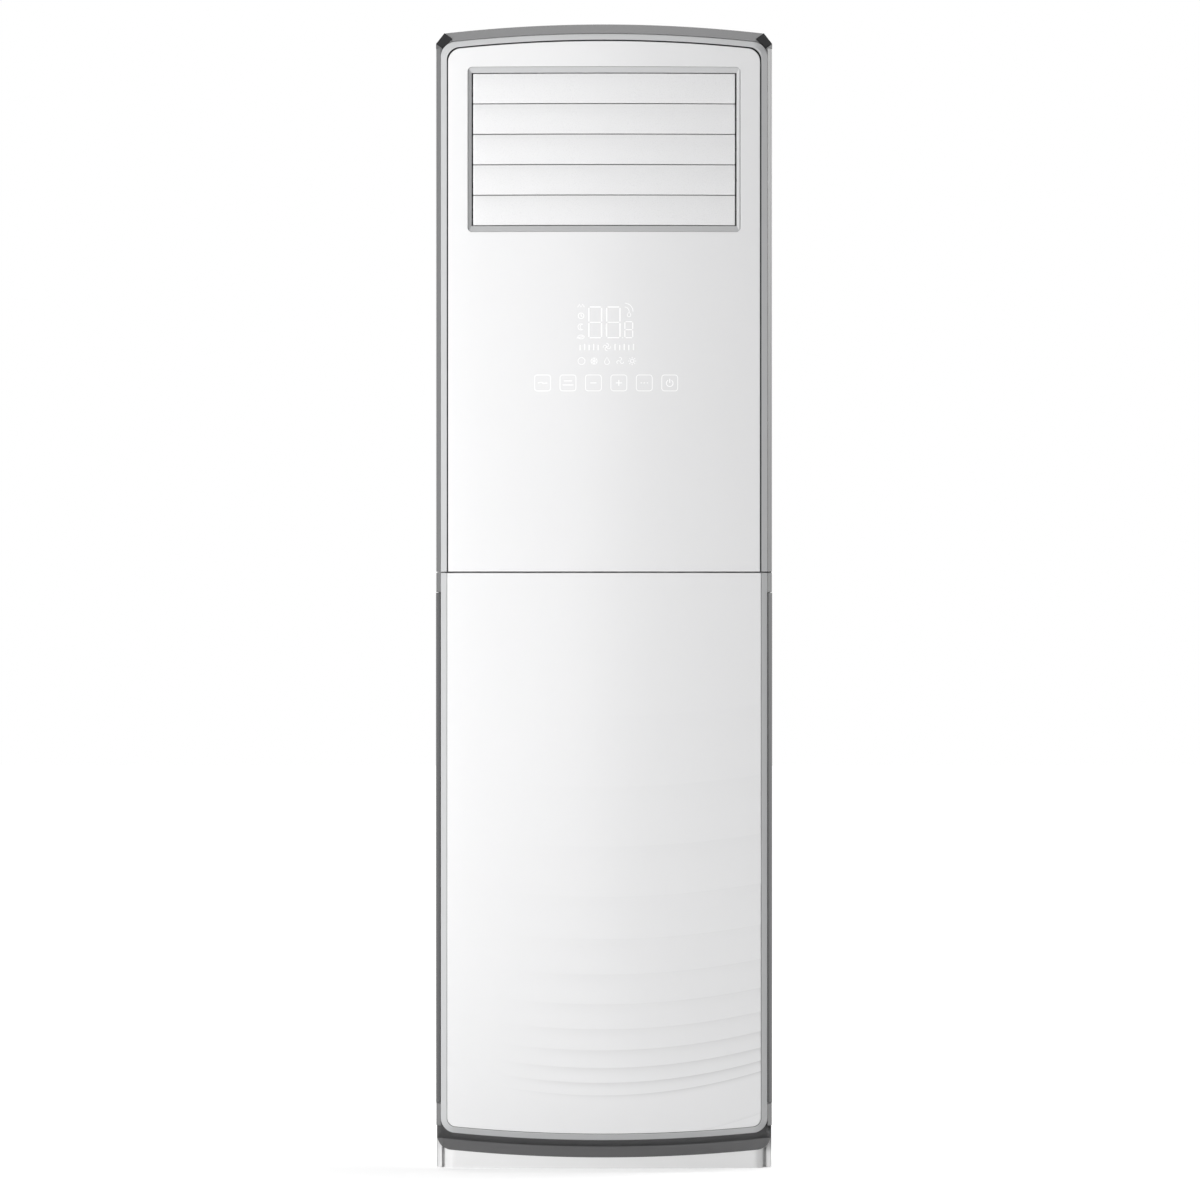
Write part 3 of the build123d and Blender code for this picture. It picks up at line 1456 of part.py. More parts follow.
with BuildPart() as terminal_block:
    with BuildSketch(Plane.XZ.offset(-box_back + sheet)):
        with Locations((terminals_x, terminals_z)):
            Rectangle(terminals_width, terminals_height)
    extrude(amount=terminals_depth)
    with BuildSketch(Plane.XZ.offset(-box_back + sheet + terminals_depth - terminal_depth)):
        with Locations((terminals_x, terminals_z)):
            with GridLocations(terminal_pitch_x, terminal_pitch_z, 2, terminal_rows):
                Rectangle(terminal_width, terminal_height)
    extrude(amount=terminal_depth, mode=Mode.SUBTRACT)
write(terminal_block.part, "terminal_block")

# ---- Display and touch keys behind the upper panel's skin ----
with BuildPart() as display_board:
    with BuildSketch(Plane.XZ.offset(-display_board_y - fit / 3)):
        with Locations((display_x, (board_low + board_high) / 2)):
            Rectangle(2 * board_half, board_high - board_low)
    extrude(amount=-board_thickness)
write(display_board.part, "display_board")


def behind_skin(outline_half, middle, low, high, rounding):
    """Block between the display board and the panel's skin."""
    with BuildSketch(Plane.XZ.offset(-display_board_y)) as outline:
        with Locations((middle, (low + high) / 2)):
            RectangleRounded(2 * outline_half, high - low, rounding)
    with BuildPart() as block:
        extrude(outline.sketch, amount=depth)
        add(bowed_slab(
            framed_outline(half, low - wall, high + wall, fit), panel_skin + fit, panel_rim
        ), mode=Mode.INTERSECT)
    return block.part


with BuildPart() as display_lens:
    add(behind_skin(display_half, display_x, display_low, display_high, key_rounding))
write(display_lens.part, "display_lens")

with BuildPart() as touch_pads:
    for index in range(key_count):
        pad_x = display_x + key_pitch * (index - (key_count - 1) / 2)
        add(behind_skin(
            key_size / 2, pad_x, key_z - key_size / 2, key_z + key_size / 2, key_rounding
        ))
write(touch_pads.part, "touch_pads")
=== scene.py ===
import bmesh
import bpy
import json
from math import atan2, cos, hypot, pi, radians, sin, sqrt
from mathutils import Matrix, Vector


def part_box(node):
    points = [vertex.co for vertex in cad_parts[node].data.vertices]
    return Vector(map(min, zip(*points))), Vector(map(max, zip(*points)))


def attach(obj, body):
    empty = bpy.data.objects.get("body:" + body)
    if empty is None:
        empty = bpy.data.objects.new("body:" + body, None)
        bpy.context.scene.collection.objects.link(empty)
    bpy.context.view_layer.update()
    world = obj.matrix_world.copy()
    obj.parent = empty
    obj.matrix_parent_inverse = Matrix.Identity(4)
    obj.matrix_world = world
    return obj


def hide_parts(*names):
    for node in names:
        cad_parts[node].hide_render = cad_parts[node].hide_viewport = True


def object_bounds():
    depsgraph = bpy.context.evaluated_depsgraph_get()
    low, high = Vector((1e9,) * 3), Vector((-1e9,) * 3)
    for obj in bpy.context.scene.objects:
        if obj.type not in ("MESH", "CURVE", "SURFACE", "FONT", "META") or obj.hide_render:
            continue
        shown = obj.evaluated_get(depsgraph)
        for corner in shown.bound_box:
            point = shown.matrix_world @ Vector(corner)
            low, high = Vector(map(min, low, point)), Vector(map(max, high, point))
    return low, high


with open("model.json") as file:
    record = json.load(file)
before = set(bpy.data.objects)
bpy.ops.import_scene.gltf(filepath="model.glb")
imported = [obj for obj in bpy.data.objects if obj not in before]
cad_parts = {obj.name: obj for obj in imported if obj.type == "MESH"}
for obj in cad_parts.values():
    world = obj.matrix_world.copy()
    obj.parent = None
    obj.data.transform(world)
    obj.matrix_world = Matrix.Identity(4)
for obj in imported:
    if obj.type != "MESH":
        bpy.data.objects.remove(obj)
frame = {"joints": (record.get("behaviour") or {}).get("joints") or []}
cad_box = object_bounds()

# ---- Studio: camera, lamps, floor and backdrop ----
# The cabinet stands on a pale floor that glows white further out. A long lens looks at it straight
# on from half its height. Soft lamps stand at the front left, behind the right edge and above.
view_width = 1.7785          # what the photograph's square takes in at the front's foremost line
view_x = -0.0061
view_z = 0.8448
lens = 250                   # in millimetres, like the sensor's width
sensor = 36
farthest = 100               # how far the camera sees
air_strength = 0.225         # plain light from all sides
floor_size = 60
floor_shade = 0.82
glow_near = (0.4, 0.45)      # distance on the floor, and how strongly it glows there
glow_far = (2.2, 1.0)
front_y = cad_box[0][1]
camera_distance = view_width * lens / sensor

bpy.ops.object.camera_add(
    location=(view_x, front_y - camera_distance, view_z), rotation=(radians(90), 0, 0)
)
camera = bpy.context.object
camera.data.lens = lens
camera.data.sensor_width = sensor
camera.data.clip_end = farthest
bpy.context.scene.camera = camera
bpy.context.scene.view_settings.view_transform = "Standard"

# each lamp: degrees round from the front, distance, height, height aimed at, size and power
for name, turn, distance, height, aim, size, power in (
    ("key_lamp", -50, 5.2, 1.1, 0.9, (2.0, 3.2), 150),
    ("second_lamp", -30, 5.2, 1.1, 0.9, (2.0, 3.2), 61),
    ("front_lamp", -10, 5.2, 1.1, 0.9, (2.0, 3.2), 39),
    ("edge_lamp", 115, 4.0, 0.6, 0.4, (1.2, 1.0), 6),
    ("high_edge_lamp", 116, 4.0, 1.9, 1.4, (1.2, 1.2), 68),
    ("top_lamp", 180, 0.8, 4.0, 1.7, (2.6, 1.0), 62),
):
    place = (distance * sin(radians(turn)), -distance * cos(radians(turn)), height)
    bpy.ops.object.light_add(type="AREA", location=place)
    lamp = bpy.context.object
    lamp.name = name
    lamp.data.shape = "RECTANGLE"
    lamp.data.size = size[0]
    lamp.data.size_y = size[1]
    lamp.data.energy = power
    lamp.rotation_euler = (atan2(distance, height - aim), 0, atan2(place[0], -place[1]))


def fill(node, **values):
    """Sets plain inputs of a node."""
    for name, value in values.items():
        node.inputs[name.replace("_", " ")].default_value = value
    return node


world = bpy.data.worlds.new("studio_air")
bpy.context.scene.world = world
world.use_nodes = True
nodes = world.node_tree.nodes
links = world.node_tree.links
air = fill(nodes["Background"], Color=(1, 1, 1, 1), Strength=air_strength)
backdrop = fill(nodes.new("ShaderNodeBackground"), Color=(1, 1, 1, 1), Strength=1.0)


def seen_rays(nodes, links):
    """1 for what the camera sees, also in gloss and through clear parts, and 0 for plain light."""
    ray = nodes.new("ShaderNodeLightPath")
    total = ray.outputs["Is Camera Ray"]
    for kind in ("Is Glossy Ray", "Is Transmission Ray"):
        either = nodes.new("ShaderNodeMath")
        either.operation = "MAXIMUM"
        links.new(total, either.inputs[0])
        links.new(ray.outputs[kind], either.inputs[1])
        total = either.outputs["Value"]
    return total


seen = nodes.new("ShaderNodeMixShader")
links.new(seen_rays(nodes, links), seen.inputs["Fac"])
links.new(air.outputs["Background"], seen.inputs[1])
links.new(backdrop.outputs["Background"], seen.inputs[2])
links.new(seen.outputs["Shader"], nodes["World Output"].inputs["Surface"])


def new_finish(name):
    """A new material, its nodes and links, the shader that it starts with, and the place on it."""
    material = bpy.data.materials.new(name)
    material.use_nodes = True
    nodes = material.node_tree.nodes
    place = nodes.new("ShaderNodeTexCoord").outputs["Object"]
    return material, nodes, material.node_tree.links, nodes["Principled BSDF"], place


bpy.ops.mesh.primitive_grid_add(x_subdivisions=2, y_subdivisions=2, size=floor_size)
floor = bpy.context.object
floor.name = "studio_floor"
floor_paint, nodes, links, plastic, place = new_finish("studio_floor")
nodes.remove(plastic)
matt = fill(nodes.new("ShaderNodeBsdfDiffuse"), Color=(floor_shade, floor_shade, floor_shade, 1))
glow = fill(nodes.new("ShaderNodeEmission"), Color=(1, 1, 1, 1))
distance = nodes.new("ShaderNodeVectorMath")
distance.operation = "LENGTH"
spread = fill(
    nodes.new("ShaderNodeMapRange"),
    From_Min=glow_near[0], From_Max=glow_far[0], To_Min=glow_near[1], To_Max=glow_far[1],
)
links.new(place, distance.inputs[0])
links.new(distance.outputs["Value"], spread.inputs["Value"])
links.new(spread.outputs["Result"], glow.inputs["Strength"])
lifted = nodes.new("ShaderNodeAddShader")
seen = nodes.new("ShaderNodeMixShader")
links.new(matt.outputs["BSDF"], lifted.inputs[0])
links.new(glow.outputs["Emission"], lifted.inputs[1])
links.new(seen_rays(nodes, links), seen.inputs["Fac"])
links.new(matt.outputs["BSDF"], seen.inputs[1])
links.new(lifted.outputs["Shader"], seen.inputs[2])
links.new(seen.outputs["Shader"], nodes["Material Output"].inputs["Surface"])
floor.data.materials.append(floor_paint)


# ---- Upper front panel ----
# One glossy white moulding, bowed in plan, with an arched top edge, a window for the louvres and
# a stiffening rim turned back round its edge. It is modelled flat and straight, then curved.
bow_radius = 1.7
top_arch = 2.3
foot_arch = 2.5
hair = 0.0001                # how near counts as the same place


def block(name, low, high):
    """A plain block between two corners, ready to be shaped."""
    bpy.ops.mesh.primitive_cube_add(size=1)
    piece = bpy.context.object
    piece.name = name
    piece.location = [(a + b) / 2 for a, b in zip(low, high)]
    piece.scale = [b - a for a, b in zip(low, high)]
    bpy.ops.object.transform_apply(location=True, rotation=True, scale=True)
    return piece


def choose(piece, kind, wanted=lambda item: True):
    """Opens a piece with its corners, edges or faces selected, or those that pass a test."""
    if bpy.context.object != piece or piece.mode != "EDIT":
        close(piece)
        bpy.ops.object.mode_set(mode="EDIT")
    bpy.ops.mesh.select_mode(type=kind)
    bpy.ops.mesh.select_all(action="DESELECT")
    shape = bmesh.from_edit_mesh(piece.data)
    for item in {"VERT": shape.verts, "EDGE": shape.edges, "FACE": shape.faces}[kind]:
        if wanted(item):
            item.select_set(True)
    bmesh.update_edit_mesh(piece.data)


def close(piece):
    """Leaves edit mode with only this piece selected."""
    if bpy.context.object and bpy.context.object.mode == "EDIT":
        bpy.ops.object.mode_set(mode="OBJECT")
    bpy.ops.object.select_all(action="DESELECT")
    piece.select_set(True)
    bpy.context.view_layer.objects.active = piece


def sharp(edge):
    """Whether an edge is a corner, and not a seam in a flat or gently curved face."""
    return edge.calc_face_angle(0) > radians(30)


def ends(edge, test):
    """Whether both ends of an edge pass a test on their place."""
    return all(test(corner.co) for corner in edge.verts)


def bevel(piece, width, segments, wanted):
    """Bevels the edges that pass a test."""
    choose(piece, "EDGE", wanted)
    bpy.ops.mesh.bevel(offset=width, segments=segments, affect="EDGES")
    close(piece)


def span(edge):
    """How far an edge runs from side to side."""
    return abs(edge.verts[0].co.x - edge.verts[1].co.x)


def round_corners(piece, reach, level, radius):
    """Rounds the two corners of a front outline that lie at one level."""
    bevel(piece, radius, 12, lambda edge: span(edge) < hair and ends(
        edge, lambda at: abs(abs(at.x) - reach) < hair and abs(at.z - level) < hair
    ))


def cut(piece, cutter, operation="DIFFERENCE"):
    """Cuts one piece with another, which is used up."""
    close(piece)
    saw = piece.modifiers.new("saw", "BOOLEAN")
    saw.operation = operation
    saw.object = cutter
    saw.solver = "EXACT"
    bpy.ops.object.modifier_apply(modifier="saw")
    bpy.data.objects.remove(cutter)


def trim_plane(piece, place, away):
    """Cuts off what lies beyond a plane and closes the cut."""
    choose(piece, "FACE")
    bpy.ops.mesh.bisect(plane_co=place, plane_no=away, use_fill=True, clear_outer=True)
    close(piece)


def ease_edges(piece, wanted, width, segments=2):
    """Eases the edges whose ends pass a test."""
    bevel(piece, width, segments, lambda edge: ends(edge, wanted) and sharp(edge))


def sag(x, radius):
    """How far an arc of this radius has fallen at x from its middle."""
    return radius - sqrt(radius**2 - x**2)


def curve_front(piece, arched_above=None, dipped_below=None, bowed_before=1.0, column=0.01):
    """Cuts a straight piece into upright columns and gives it the cabinet's curves."""
    reach = max(abs(corner[0]) for corner in piece.bound_box)
    choose(piece, "FACE")
    for step in range(-int(reach / column), int(reach / column) + 1):
        bpy.ops.mesh.select_all(action="SELECT")
        bpy.ops.mesh.bisect(plane_co=(step * column, 0, 0), plane_no=(1, 0, 0))
    close(piece)
    for point in piece.data.vertices:
        x, y, z = point.co
        if arched_above is not None and z > arched_above:
            point.co.z -= sag(x, top_arch)
        if dipped_below is not None and z < dipped_below:
            point.co.z += sag(x, foot_arch)
        if y < bowed_before:
            point.co.y += sag(x, bow_radius)


def finish(piece, material, angle=20):
    """Shades a finished piece and gives it its material."""
    close(piece)
    bpy.ops.object.shade_smooth_by_angle(angle=radians(angle))
    piece.data.materials.clear()
    piece.data.materials.append(material)


def two_shades(nodes, dark, light):
    """A blend from one shade of a colour to another."""
    shade = nodes.new("ShaderNodeMix")
    shade.data_type = "RGBA"
    shade.inputs["A"].default_value = (*dark, 1)
    shade.inputs["B"].default_value = (*light, 1)
    return shade


def drifting(nodes, colour, drift):
    """A blend from a little darker than a colour to a little lighter."""
    return two_shades(
        nodes,
        [value * (1 - drift) for value in colour],
        [min(1, value * (1 + drift)) for value in colour],
    )


def moulding(name, colour, roughness, grain=0.0004, texture=0.0, drift=0.02):
    """Moulded plastic: a fine moulded texture, and a slow drift in its shade and gloss."""
    material, nodes, links, plastic, place = new_finish(name)
    slow = fill(nodes.new("ShaderNodeTexNoise"), Scale=3, Detail=2)
    links.new(place, slow.inputs["Vector"])
    shade = drifting(nodes, colour, drift)
    links.new(slow.outputs["Fac"], shade.inputs["Factor"])
    links.new(shade.outputs["Result"], plastic.inputs["Base Color"])
    fine = fill(nodes.new("ShaderNodeTexNoise"), Scale=1 / (grain * 3), Detail=3)
    links.new(place, fine.inputs["Vector"])
    gloss = fill(
        nodes.new("ShaderNodeMapRange"), To_Min=roughness * 0.85, To_Max=roughness * 1.15
    )
    links.new(fine.outputs["Fac"], gloss.inputs["Value"])
    links.new(gloss.outputs["Result"], plastic.inputs["Roughness"])
    relief = fill(nodes.new("ShaderNodeBump"), Strength=0.5, Distance=texture)
    links.new(fine.outputs["Fac"], relief.inputs["Height"])
    links.new(relief.outputs["Normal"], plastic.inputs["Normal"])
    return material


white_gloss = moulding("white_gloss", (0.81, 0.81, 0.815), 0.22, drift=0.01)

panel_low, panel_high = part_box("upper_front_panel")
panel_rounding = 0.0175
panel_skin = 0.003
panel_wall = 0.0025
edge_ease = 0.0008
ring_low, ring_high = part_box("outlet_surround")
ring_gap = 0.0003
ring_rounding = 0.007
ring_depth = 0.005
panel_rim = 0.012
window_top = ring_high[2] + 0.01

upper_panel = block(
    "upper_panel_skin",
    (panel_low[0], front_y, panel_low[2]),
    (panel_high[0], front_y + panel_rim, panel_high[2]),
)
round_corners(upper_panel, panel_high[0], panel_high[2], panel_rounding)
window = block(
    "window",
    (ring_low[0] - ring_gap, front_y - panel_rim, ring_low[2] - ring_gap),
    (ring_high[0] + ring_gap, front_y + 2 * panel_rim, ring_high[2] + ring_gap),
)
for level in (ring_low[2] - ring_gap, ring_high[2] + ring_gap):
    round_corners(window, ring_high[0] + ring_gap, level, ring_rounding)
cut(upper_panel, window)


def pull(x, y, z):
    """Draws the chosen faces out, or into the piece."""
    bpy.ops.mesh.extrude_region_move(TRANSFORM_OT_translate={"value": (x, y, z)})


def hollow_back(piece, back, wall, skin):
    """Sinks a hollow into a panel's back and leaves a rim round it."""
    choose(piece, "FACE", lambda face: all(abs(c.co.y - back) < hair for c in face.verts))
    bpy.ops.mesh.inset(thickness=wall)
    pull(0, front_y + skin - back, 0)
    close(piece)


hollow_back(upper_panel, front_y + panel_rim, panel_wall, panel_skin)
ease_edges(upper_panel, lambda at: abs(at.y - front_y) < hair, edge_ease)
curve_front(upper_panel, arched_above=window_top)
finish(upper_panel, white_gloss)
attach(upper_panel, "cabinet")
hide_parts("upper_front_panel")

# ---- Lower front panel ----
# The same white moulding below the shut line. Shallow scallops, like rings on water, are moulded
# into its face, strongest at the lower right. A faint painted shade under each ridge follows them.
lower_low, lower_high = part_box("lower_front_panel")
lower_rounding = 0.012
panel_dip = 0.08             # below this level the edge dips in the middle
ripple_count = 9
first_ripple = 0.1106        # level of the lowest ridge, at its lowest point
first_pitch = 0.0185
pitch_growth = 1.19
first_curve = 0.8            # radius of the lowest ridge, seen from the front
curve_growth = 0.075
ripple_x = -0.0056
ripple_rows = 8
ripple_columns = 48
ripple_reach = 0.24
ripple_sink = 0.050          # depth of a scallop as a share of its height
ripple_least = 0.06          # the least of that depth, at the left
painted_shade_falloff = 3.0          # how fast the painted shade dies away below a ridge
painted_ridge_shades = ((0.09, 12.0), (0.10, 4.0))  # painted shade under the ridges, and how many it lasts
ripple_fade = (-0.16, 0.14)  # from where to where the scallops deepen


def ripple_level(order, x):
    """Height at x of a ridge, counted from the lowest."""
    rise = first_pitch * (pitch_growth**order - 1) / (pitch_growth - 1)
    radius = first_curve + curve_growth * order
    return first_ripple + rise + (x - ripple_x) ** 2 / (2 * radius)


def scallop(order, part, x):
    """How far the face is sunk at a part of the way up from one ridge to the next."""
    height = first_pitch * pitch_growth**order
    across = (x - ripple_fade[0]) / (ripple_fade[1] - ripple_fade[0])
    strength = min(1, max(ripple_least, across)) * (1 - order / ripple_count)
    hollow = 27 / 4 * part**2 * (1 - part)     # deepest, at 1, two thirds of the way up
    return ripple_sink * height * strength * hollow


lower_panel = block(
    "lower_panel_skin",
    (lower_low[0], front_y, lower_low[2]),
    (lower_high[0], front_y + panel_rim, lower_high[2]),
)
round_corners(lower_panel, lower_high[0], lower_low[2], lower_rounding)
row_count = 2 + (ripple_count - 1) * ripple_rows
bpy.ops.mesh.primitive_grid_add(x_subdivisions=ripple_columns, y_subdivisions=row_count, size=2)
rippled = bpy.context.object
for point in rippled.data.vertices:
    x = ripple_reach * point.co.x
    row = round((point.co.y + 1) / 2 * row_count)
    order, step = divmod(row - 1, ripple_rows)
    if row == 0:
        point.co = (x, front_y, lower_low[2] - panel_rim)
    elif row == row_count:
        point.co = (x, front_y, lower_high[2] + panel_rim)
    else:
        part = step / ripple_rows
        level = ripple_level(order, x) * (1 - part) + ripple_level(order + 1, x) * part
        point.co = (x, front_y + scallop(order, part, x), level)
choose(rippled, "FACE")
pull(0, 2 * panel_rim, 0)
bpy.ops.mesh.select_all(action="SELECT")
bpy.ops.mesh.normals_make_consistent(inside=False)
cut(lower_panel, rippled, "INTERSECT")
hollow_back(lower_panel, front_y + panel_rim, panel_wall, panel_skin)
ease_edges(lower_panel, lambda at: at.y < front_y + panel_skin / 2, edge_ease)
curve_front(lower_panel, dipped_below=panel_dip)


def paint_ridge_shade(material):
    """Paints a faint shade into the colour under each ridge, on the same curves as the scallops."""
    nodes = material.node_tree.nodes
    links = material.node_tree.links

    def sum_up(kind, first, second=0.0, clamped=False):
        """One sum of two values, each a number or another sum."""
        node = nodes.new("ShaderNodeMath")
        node.operation = kind
        node.use_clamp = clamped
        for socket, value in zip(node.inputs, (first, second)):
            if isinstance(value, float):
                socket.default_value = value
            else:
                links.new(value, socket)
        return node.outputs["Value"]

    place = nodes.new("ShaderNodeTexCoord")
    axes = nodes.new("ShaderNodeSeparateXYZ")
    links.new(place.outputs["Object"], axes.inputs["Vector"])
    aside = sum_up("SUBTRACT", axes.outputs["X"], ripple_x)
    spread = sum_up("MULTIPLY", aside, aside)
    order = sum_up("ADD", 2.0)
    for _ in range(3):
        radius = sum_up("ADD", sum_up("MULTIPLY", order, curve_growth), first_curve)
        bend = sum_up("DIVIDE", spread, sum_up("MULTIPLY", radius, 2.0))
        rise = sum_up("SUBTRACT", sum_up("SUBTRACT", axes.outputs["Z"], first_ripple), bend)
        grown = sum_up("ADD", sum_up("MULTIPLY", rise, (pitch_growth - 1) / first_pitch), 1.0)
        order = sum_up("LOGARITHM", sum_up("MAXIMUM", grown, hair), pitch_growth)
    # painted shade: darkest just below each ridge, fading away downwards
    under = sum_up("POWER", sum_up("FRACT", order), painted_shade_falloff)
    depth = 0.0
    for strength, lasts in painted_ridge_shades:
        fading = sum_up("SUBTRACT", 1.0, sum_up("DIVIDE", order, lasts), clamped=True)
        depth = sum_up("ADD", sum_up("MULTIPLY", fading, strength), depth)
    run = ripple_fade[1] - ripple_fade[0]
    passed = sum_up("SUBTRACT", axes.outputs["X"], ripple_fade[0])
    across = sum_up("DIVIDE", passed, run, clamped=True)
    begun = sum_up("ADD", order, 1.0, clamped=True)
    shade = sum_up("MULTIPLY", sum_up("MULTIPLY", under, depth), sum_up("MULTIPLY", across, begun))
    # the painted shade darkens the panel's base colour
    tint = nodes.new("ShaderNodeVectorMath")
    tint.operation = "SCALE"
    colour = nodes["Principled BSDF"].inputs["Base Color"]
    links.new(colour.links[0].from_socket, tint.inputs["Vector"])
    links.new(sum_up("SUBTRACT", 1.0, shade), tint.inputs["Scale"])
    links.new(tint.outputs["Vector"], colour)


# this finish's colour carries the painted shade under the ridges
rippled_gloss = moulding("rippled_gloss", (0.81, 0.81, 0.815), 0.22, drift=0.01)
paint_ridge_shade(rippled_gloss)
finish(lower_panel, rippled_gloss)
choose(lower_panel, "EDGE", lambda edge: any(
    ends(edge, lambda at: abs(at.z - ripple_level(order, at.x)) < hair)
    for order in range(1, ripple_count)
))
bpy.ops.mesh.mark_sharp()
close(lower_panel)
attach(lower_panel, "cabinet")
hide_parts("lower_front_panel")

# ---- Front frames ----
# Two mouldings painted silver hold the panels. Each has a facet that slopes back from the
# panel's edge to the cabinet's side, and a ledge that reaches in behind the panel.
bezel_depth = 0.007
bezel_slope = 0.0085
frame_depth = 0.014
frame_rounding = 0.020
upper_gap = 0.002
lower_gap = 0.0005
ledge = 0.008
play = 0.0003
channel_y = front_y + 0.005  # the silver paint reaches this far into the channel round the panel; deeper faces get near-black painted shade
facet_lean = (0.48, 0.92)    # how far a sloping facet's faces look forward
silver_paint = moulding("silver_paint", (0.56, 0.565, 0.57), 0.32, drift=0.015)
# near black, used as painted shade deep in the frames' channels
bare_plastic = moulding("bare_plastic", (0.05, 0.05, 0.052), 0.5)


def bezel(name, node, panel_box, gap, rounding, up):
    """A frame with a sloping facet on three sides: up is 1 over the shut line and -1 below."""
    low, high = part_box(node)
    seam = low[2] if up > 0 else high[2]
    tip = high[2] if up > 0 else low[2]
    over = seam - up * 2 * frame_rounding
    frame_piece = block(
        name,
        (low[0], front_y + bezel_depth, min(over, tip)),
        (high[0], front_y + frame_depth, max(over, tip)),
    )
    round_corners(frame_piece, high[0], tip, frame_rounding)
    choose(frame_piece, "FACE", lambda face: face.normal.y < -0.9)
    bpy.ops.mesh.inset(thickness=bezel_slope)
    bpy.ops.transform.translate(value=(0, -bezel_depth, 0))
    trim_plane(frame_piece, (0, 0, seam), (0, 0, -up))
    panel_edge = panel_box[1][0] + gap
    panel_tip = (panel_box[1][2] if up > 0 else panel_box[0][2]) + up * gap
    for shrink, far in ((0, front_y + panel_rim + play), (ledge, front_y + 2 * frame_depth)):
        side = panel_edge - shrink
        level = panel_tip - up * shrink
        room = block(
            "room",
            (-side, front_y - frame_depth, min(over, level)),
            (side, far, max(over, level)),
        )
        round_corners(room, side, level, rounding)
        cut(frame_piece, room)
    if up > 0:
        curve_front(frame_piece, arched_above=(seam + tip) / 2)
    else:
        curve_front(frame_piece, dipped_below=(seam + tip) / 2)
    finish(frame_piece, silver_paint)
    # Faces deep in the channel round the panel take the near-black finish: painted shade that
    # darkens the seam.
    frame_piece.data.materials.append(bare_plastic)
    for face in frame_piece.data.polygons:
        middle = face.center
        facet = facet_lean[0] < -face.normal.y < facet_lean[1]
        deep = middle.y - sag(middle.x, bow_radius) > channel_y
        if deep and not facet and abs(middle.x) < panel_edge + hair:
            face.material_index = 1
    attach(frame_piece, "cabinet")
    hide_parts(node)


bezel("upper_bezel", "upper_front_frame", (panel_low, panel_high), upper_gap, panel_rounding, 1)
bezel("lower_bezel", "lower_front_frame", (lower_low, lower_high), lower_gap, lower_rounding, -1)

# ---- Top cover ----
# A grey painted lid, arched from side to side. Its front edge is bevelled back over the frame,
# and its cut corners make room for the dark corner inserts.
cover_low, cover_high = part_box("top_cover")
cover_front = front_y + bezel_depth
bevel_height = 0.0156
bevel_depth = 0.022
corner_run = 0.0126
corner_drop = 0.016
insert_facet = 0.015
insert_depth = 0.030
socket_reach = 0.1
socket_over = 0.01
side_facet = 0.016           # how far the sides' facets fall back, below the corners
lid_corner = 0.004
lid_crest = 0.008
lid_lip = 0.003
bowed_part = -0.1            # in front of this line the lid follows the bow
grey_paint = moulding("grey_paint", (0.125, 0.126, 0.128), 0.4, drift=0.015)
lid_paint = moulding("lid_paint", (0.10, 0.101, 0.103), 0.6, drift=0.015)

top_cover = block(
    "top_lid",
    (cover_low[0], cover_front, cover_low[2]),
    cover_high,
)
outer = cover_high[0]
corner_fall = corner_drop - sag(outer, top_arch) + sag(outer - corner_run, top_arch)
for side in (-1, 1):
    trim_plane(
        top_cover,
        (side * outer, 0, cover_high[2] - corner_fall),
        (side * corner_fall, 0, corner_run),
    )
ease_edges(
    top_cover, lambda at: abs(abs(at.x) - outer + corner_run) < hair, lid_corner, segments=4
)
trim_plane(
    top_cover, (0, cover_front, cover_high[2] - bevel_height), (0, -bevel_height, bevel_depth)
)
for level, depth, width in (
    (cover_high[2], bevel_depth, lid_crest), (cover_high[2] - bevel_height, 0, lid_lip)
):
    bevel(top_cover, width, 5, lambda edge: ends(
        edge, lambda at: abs(at.z - level) < hair and abs(at.y - cover_front - depth) < hair
    ))
frame_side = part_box("upper_front_frame")[1][0]
frame_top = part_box("upper_front_frame")[1][2]
for side in (-1, 1):
    trim_plane(
        top_cover, (side * frame_side, cover_front, 0), (side * side_facet, frame_side - outer, 0)
    )
room = block(
    "room",
    (-frame_side - play, cover_front - frame_depth, cover_low[2] - play),
    (frame_side + play, front_y + frame_depth + play, frame_top + play),
)
round_corners(room, frame_side + play, frame_top + play, frame_rounding)
cut(top_cover, room)
curve_front(top_cover, arched_above=cover_low[2] + play, bowed_before=bowed_part)
shoulder = cover_high[2] - sag(outer - corner_run, top_arch)
corner_length = hypot(corner_run, corner_drop)
insert_front = front_y + sag(frame_side, bow_radius) + bezel_depth
for side in (-1, 1):
    socket = block(
        "socket",
        (-corner_length / 2 - play, -socket_reach, -insert_facet - play),
        (corner_length / 2 + play, 0, socket_over),
    )
    socket.location = (
        side * (outer - corner_run / 2),
        insert_front + insert_depth + play,
        shoulder - corner_drop / 2,
    )
    socket.rotation_euler = (0, side * atan2(corner_drop, corner_run), 0)
    cut(top_cover, socket)
finish(top_cover, lid_paint)
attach(top_cover, "cabinet")
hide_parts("top_cover")

# ---- Corner inserts and side trims ----
# Near-black mouldings fill the two cut corners. The grey side trims fall back from the frame to
# the cabinet's sides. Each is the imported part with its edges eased.


def eased_copy(node, name, width, material, body="cabinet"):
    """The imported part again, with its loose triangles joined up and its edges eased."""
    source = bpy.data.objects[node]
    piece = source.copy()
    piece.data = source.data.copy()
    piece.name = name
    bpy.context.collection.objects.link(piece)
    piece.parent = None
    choose(piece, "FACE")
    bpy.ops.mesh.remove_doubles(threshold=0.00001)
    bpy.ops.mesh.dissolve_limited(angle_limit=radians(1))
    close(piece)
    ease = piece.modifiers.new("ease", "BEVEL")
    ease.width = width
    ease.segments = 2
    ease.limit_method = "ANGLE"
    ease.angle_limit = radians(25)
    bpy.ops.object.modifier_apply(modifier="ease")
    finish(piece, material)
    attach(piece, body)
    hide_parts(node)


